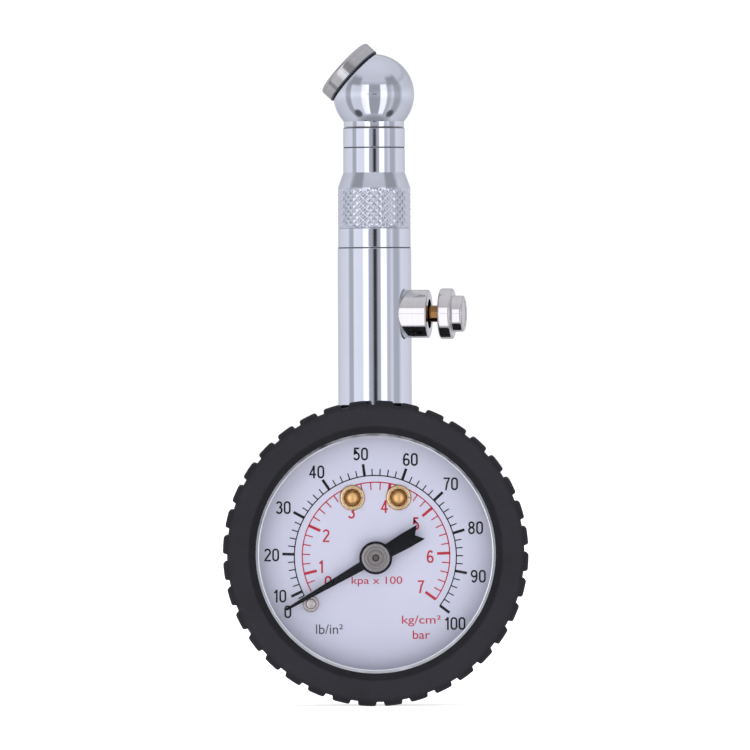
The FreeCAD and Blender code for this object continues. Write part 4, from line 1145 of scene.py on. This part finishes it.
def word_mesh(text):
    """A word as a mesh in a unit font size, flat on XY."""
    data = bpy.data.curves.new("word", "FONT")
    data.body = text
    data.offset = WORD_WEIGHT
    data.resolution_u = WORD_CURVE_STEPS
    data.fill_mode = "FRONT"
    holder = link_object("word", data)
    bpy.context.view_layer.update()
    mesh = evaluated_mesh(holder)
    bpy.data.objects.remove(holder)
    return mesh


def print_words(name, words, material):
    """Words of one colour. Each is (text, centre x, centre z, width, height) in millimetres."""
    bm = bmesh.new()
    for text, centre_x, centre_z, width, height in words:
        mesh = word_mesh(text)
        xs = [vertex.co.x for vertex in mesh.vertices]
        ys = [vertex.co.y for vertex in mesh.vertices]
        word = bmesh.new()
        word.from_mesh(mesh)
        bmesh.ops.remove_doubles(word, verts=word.verts, dist=1e-5)
        for vertex in word.verts:
            x = (vertex.co.x - min(xs)) / (max(xs) - min(xs)) - 0.5
            z = (vertex.co.y - min(ys)) / (max(ys) - min(ys)) - 0.5
            place = on_dial([(centre_x + x * width, centre_z + z * height)])[0]
            vertex.co = (place[0], DIAL_FRONT_Y, place[1])
        made = bmesh.ops.extrude_face_region(word, geom=word.faces[:])["geom"]
        for vertex in (item for item in made if isinstance(item, bmesh.types.BMVert)):
            vertex.co.y -= INK_THICKNESS * MM
        word.to_mesh(mesh)
        word.free()
        bm.from_mesh(mesh)
        bpy.data.meshes.remove(mesh)
    finish_print(name, bm, material)


# Digits drawn as strokes in a cell one unit high, each with the cell's width.
DIGITS = {
    "0": (0.54, [
        bow(0.27, 0.72, 0.20, 0.212, 90, 0) + bow(0.27, 0.28, 0.20, 0.212, 0, -90),
        bow(0.27, 0.72, 0.20, 0.212, 90, 180) + bow(0.27, 0.28, 0.20, 0.212, 180, 270),
    ]),
    "1": (0.36, [[(0.04, 0.76), (0.15, 0.81), (0.23, 0.93)], [(0.25, 1.0), (0.25, 0.0)]]),
    "2": (0.54, [
        bow(0.27, 0.72, 0.20, 0.212, 165, -38) + [(0.12, 0.16), (0.07, 0.068), (0.52, 0.068)],
    ]),
    "3": (0.54, [
        bow(0.265, 0.73, 0.185, 0.20, 160, -88), bow(0.265, 0.295, 0.205, 0.227, 88, -160),
    ]),
    "4": (0.56, [[(0.38, 0.92), (0.07, 0.30), (0.55, 0.30)], [(0.385, 1.0), (0.385, 0.0)]]),
    "5": (0.54, [
        [(0.48, 0.932), (0.145, 0.932), (0.10, 0.50)] + bow(0.265, 0.325, 0.205, 0.257, 128, -155),
    ]),
    "6": (0.54, [bow(0.28, 0.30, 0.20, 0.232, 0, 360, 32), bow(0.29, 0.48, 0.21, 0.452, 195, 45)]),
    "7": (0.52, [[(0.03, 0.932), (0.47, 0.932), (0.30, 0.55), (0.20, 0.0)]]),
    "8": (0.54, [
        bow(0.27, 0.735, 0.175, 0.197, 0, 360, 32), bow(0.27, 0.29, 0.20, 0.222, 0, 360, 32),
    ]),
    "9": (0.54, [bow(0.26, 0.70, 0.20, 0.232, 0, 360, 32), bow(0.25, 0.52, 0.21, 0.452, 15, -135)]),
}
STROKE = 0.138
DIGIT_GAP = 0.085
LONGEST_MITRE = 1.5
STROKE_STEP = 0.0008


def stroke_outline(points):
    """Outline of a pen stroke of even width along a line."""
    line = [Vector(points[0])]
    for point in points[1:]:
        if (Vector(point) - line[-1]).length > 1e-4:
            line.append(Vector(point))
    left = []
    right = []
    for index, here in enumerate(line):
        before = (here - line[index - 1]).normalized() if index else None
        after = (line[index + 1] - here).normalized() if index < len(line) - 1 else None
        along = ((before or after) + (after or before)).normalized()
        across = Vector((-along.y, along.x))
        turn = across.dot(Vector((-(after or before).y, (after or before).x)))
        reach = STROKE / 2 * min(1 / max(turn, 0.1), LONGEST_MITRE)
        left.append(here + across * reach)
        right.append(here - across * reach)
    return left + right[::-1]


def print_numbers(name, numbers, material):
    """Upright numbers given as (text, centre x, centre z) in millimetres."""
    bm = bmesh.new()
    for text, centre_x, centre_z in numbers:
        width = sum(DIGITS[digit][0] + DIGIT_GAP for digit in text) - DIGIT_GAP
        pen = -width / 2
        for digit in text:
            digit_width, strokes = DIGITS[digit]
            for index, stroke in enumerate(strokes):
                outline = [
                    (centre_x + (pen + x) * NUMBER_HEIGHT, centre_z + (y - 0.5) * NUMBER_HEIGHT)
                    for x, y in stroke_outline(stroke)
                ]
                front = DIAL_FRONT_Y - (INK_THICKNESS + index * STROKE_STEP) * MM
                prism(bm, on_dial(outline), front, DIAL_FRONT_Y)
            pen += digit_width + DIGIT_GAP
    finish_print(name, bm, material)


def beside_ticks(values, first_deg, step_deg, radius, nudges):
    """Numbers beside their ticks; nudges move the crowded ones."""
    numbers = []
    for index, value in enumerate(values):
        x, z = polar(radius, first_deg - index * step_deg)
        shift_x, shift_z = nudges.get(value, (0, 0))
        numbers.append((str(value), x + shift_x, z + shift_z))
    return numbers


def make_dial_print():
    black, red, grey = (
        even_surface("print_" + colour, 0.5, 2500.0, dark, light, specular=0.1)
        for colour, dark, light in (
            ("black", (0.012, 0.012, 0.014), (0.020, 0.020, 0.022)),
            ("red", (0.46, 0.022, 0.045), (0.55, 0.035, 0.06)),
            ("grey", (0.075, 0.075, 0.085), (0.10, 0.10, 0.11)),
        )
    )
    lines = scale_outlines(PSI_R, PSI_MAJOR_R, PSI_MINOR_R, PSI_ZERO_DEG, PSI_STEP_DEG, PSI_TICKS)
    lines.append(tick_outline(PSI_R, PSI_MINOR_R, LINE, ARC_START_DEG))
    print_scale("psi_scale", lines, PSI_SHIFT, black)
    lines = scale_outlines(BAR_R, BAR_MAJOR_R, BAR_MINOR_R, BAR_ZERO_DEG, BAR_STEP_DEG, BAR_TICKS)
    print_scale("bar_scale", lines, BAR_SHIFT, red)
    psi = beside_ticks(range(10, 101, 10), PSI_ZERO_DEG, PSI_STEP_DEG, PSI_NUMBER_R, PSI_NUDGES)
    psi.append(("0", -17.9, -10.9))
    print_numbers("psi_numbers", psi, black)
    first = BAR_ZERO_DEG - BAR_STEP_DEG
    bar = beside_ticks(range(1, 8), first, BAR_STEP_DEG, BAR_NUMBER_R, BAR_NUDGES)
    bar.append(("0", -9.7, -4.95))
    print_numbers("bar_numbers", bar, red)
    print_words("unit_words_red", [
        ("kpa x 100", 0.22, -4.8, 10.3, 2.0),
        ("kg/cm²", 9.2, -12.85, 7.9, 2.2),
        ("bar", 9.2, -15.65, 3.5, 1.75),
    ], red)
    print_words("unit_words_grey", [("lb/in²", -9.45, -14.45, 5.5, 2.0)], grey)


# --- CAD nodes that keep their shape ---

def repaint(node, material):
    piece = NODES[node]
    piece.data.materials.clear()
    piece.data.materials.append(material)


def dial_metal(name, dark, light, roughness, origin=CASE_CENTRE):
    """Turned metal whose rings run round the dial's side of the case."""
    return turned_metal(name, origin, DEPTH_AXIS, dark, light, roughness)


def repaint_cad():
    rubber = even_surface("seal_rubber", 0.5, 300.0, (0.016, 0.016, 0.017), (0.026, 0.026, 0.028),
                          (3000.0, 4.0, 0.00001, 0.4))
    by_slot = {
        "boot_rubber": rubber,
        "seal_rubber": rubber,
        "case_steel": dial_metal("case_steel", (0.42, 0.42, 0.43), (0.60, 0.60, 0.62), 0.3),
        "bezel_chrome": polished_chrome("bezel_chrome", (0.94, 0.95, 0.97), 0.14),
        "stem_chrome": CHROME,
        "satin_nickel": hub_metal(),
        "lens_clear": lens_clear(),
        "dial_white": even_surface("dial_white", 0.42, 70.0, (0.628, 0.63, 0.745),
                                   (0.65, 0.652, 0.765), (1800.0, 2.0, 0.000004, 0.3)),
        "pointer_black": even_surface("pointer_black", 0.6, 900.0, (0.003, 0.003, 0.004),
                                      (0.006, 0.006, 0.008), (5000.0, 4.0, 0.000006, 0.4), 0.08),
        "brass": dial_metal("brass", (0.50, 0.25, 0.07), (0.88, 0.56, 0.20), 0.22),
        "bronze": dial_metal("bronze", (0.40, 0.20, 0.08), (0.70, 0.42, 0.20), 0.28),
        "steel": dial_metal("steel", (0.40, 0.40, 0.41), (0.66, 0.66, 0.68), 0.2),
    }
    for entry in RECORD["subparts"]:
        repaint(entry["node"], by_slot[entry["material_slot"]])
    repaint("bleed_boss", VALVE_NICKEL)
    aged_brass = turned_metal("aged_brass", VALVE_ORIGIN, VALVE_AXIS,
                              (0.12, 0.06, 0.02), (0.30, 0.155, 0.055), 0.14)
    repaint("bleed_stem", aged_brass)
    repaint("swivel_stem", aged_brass)
    repaint("pinion_shaft", dial_metal("aged_steel", (0.11, 0.085, 0.075), (0.24, 0.195, 0.175),
                                       0.3, PIVOT))
    repaint("zero_stop_pin", pin_metal())


repaint_cad()
make_boot()
make_barrel()
make_upper_barrel()
make_collar()
make_ball_head()
make_chuck_cap()
make_bleed_button()
make_springs()
make_dial_screws()
make_dial_print()
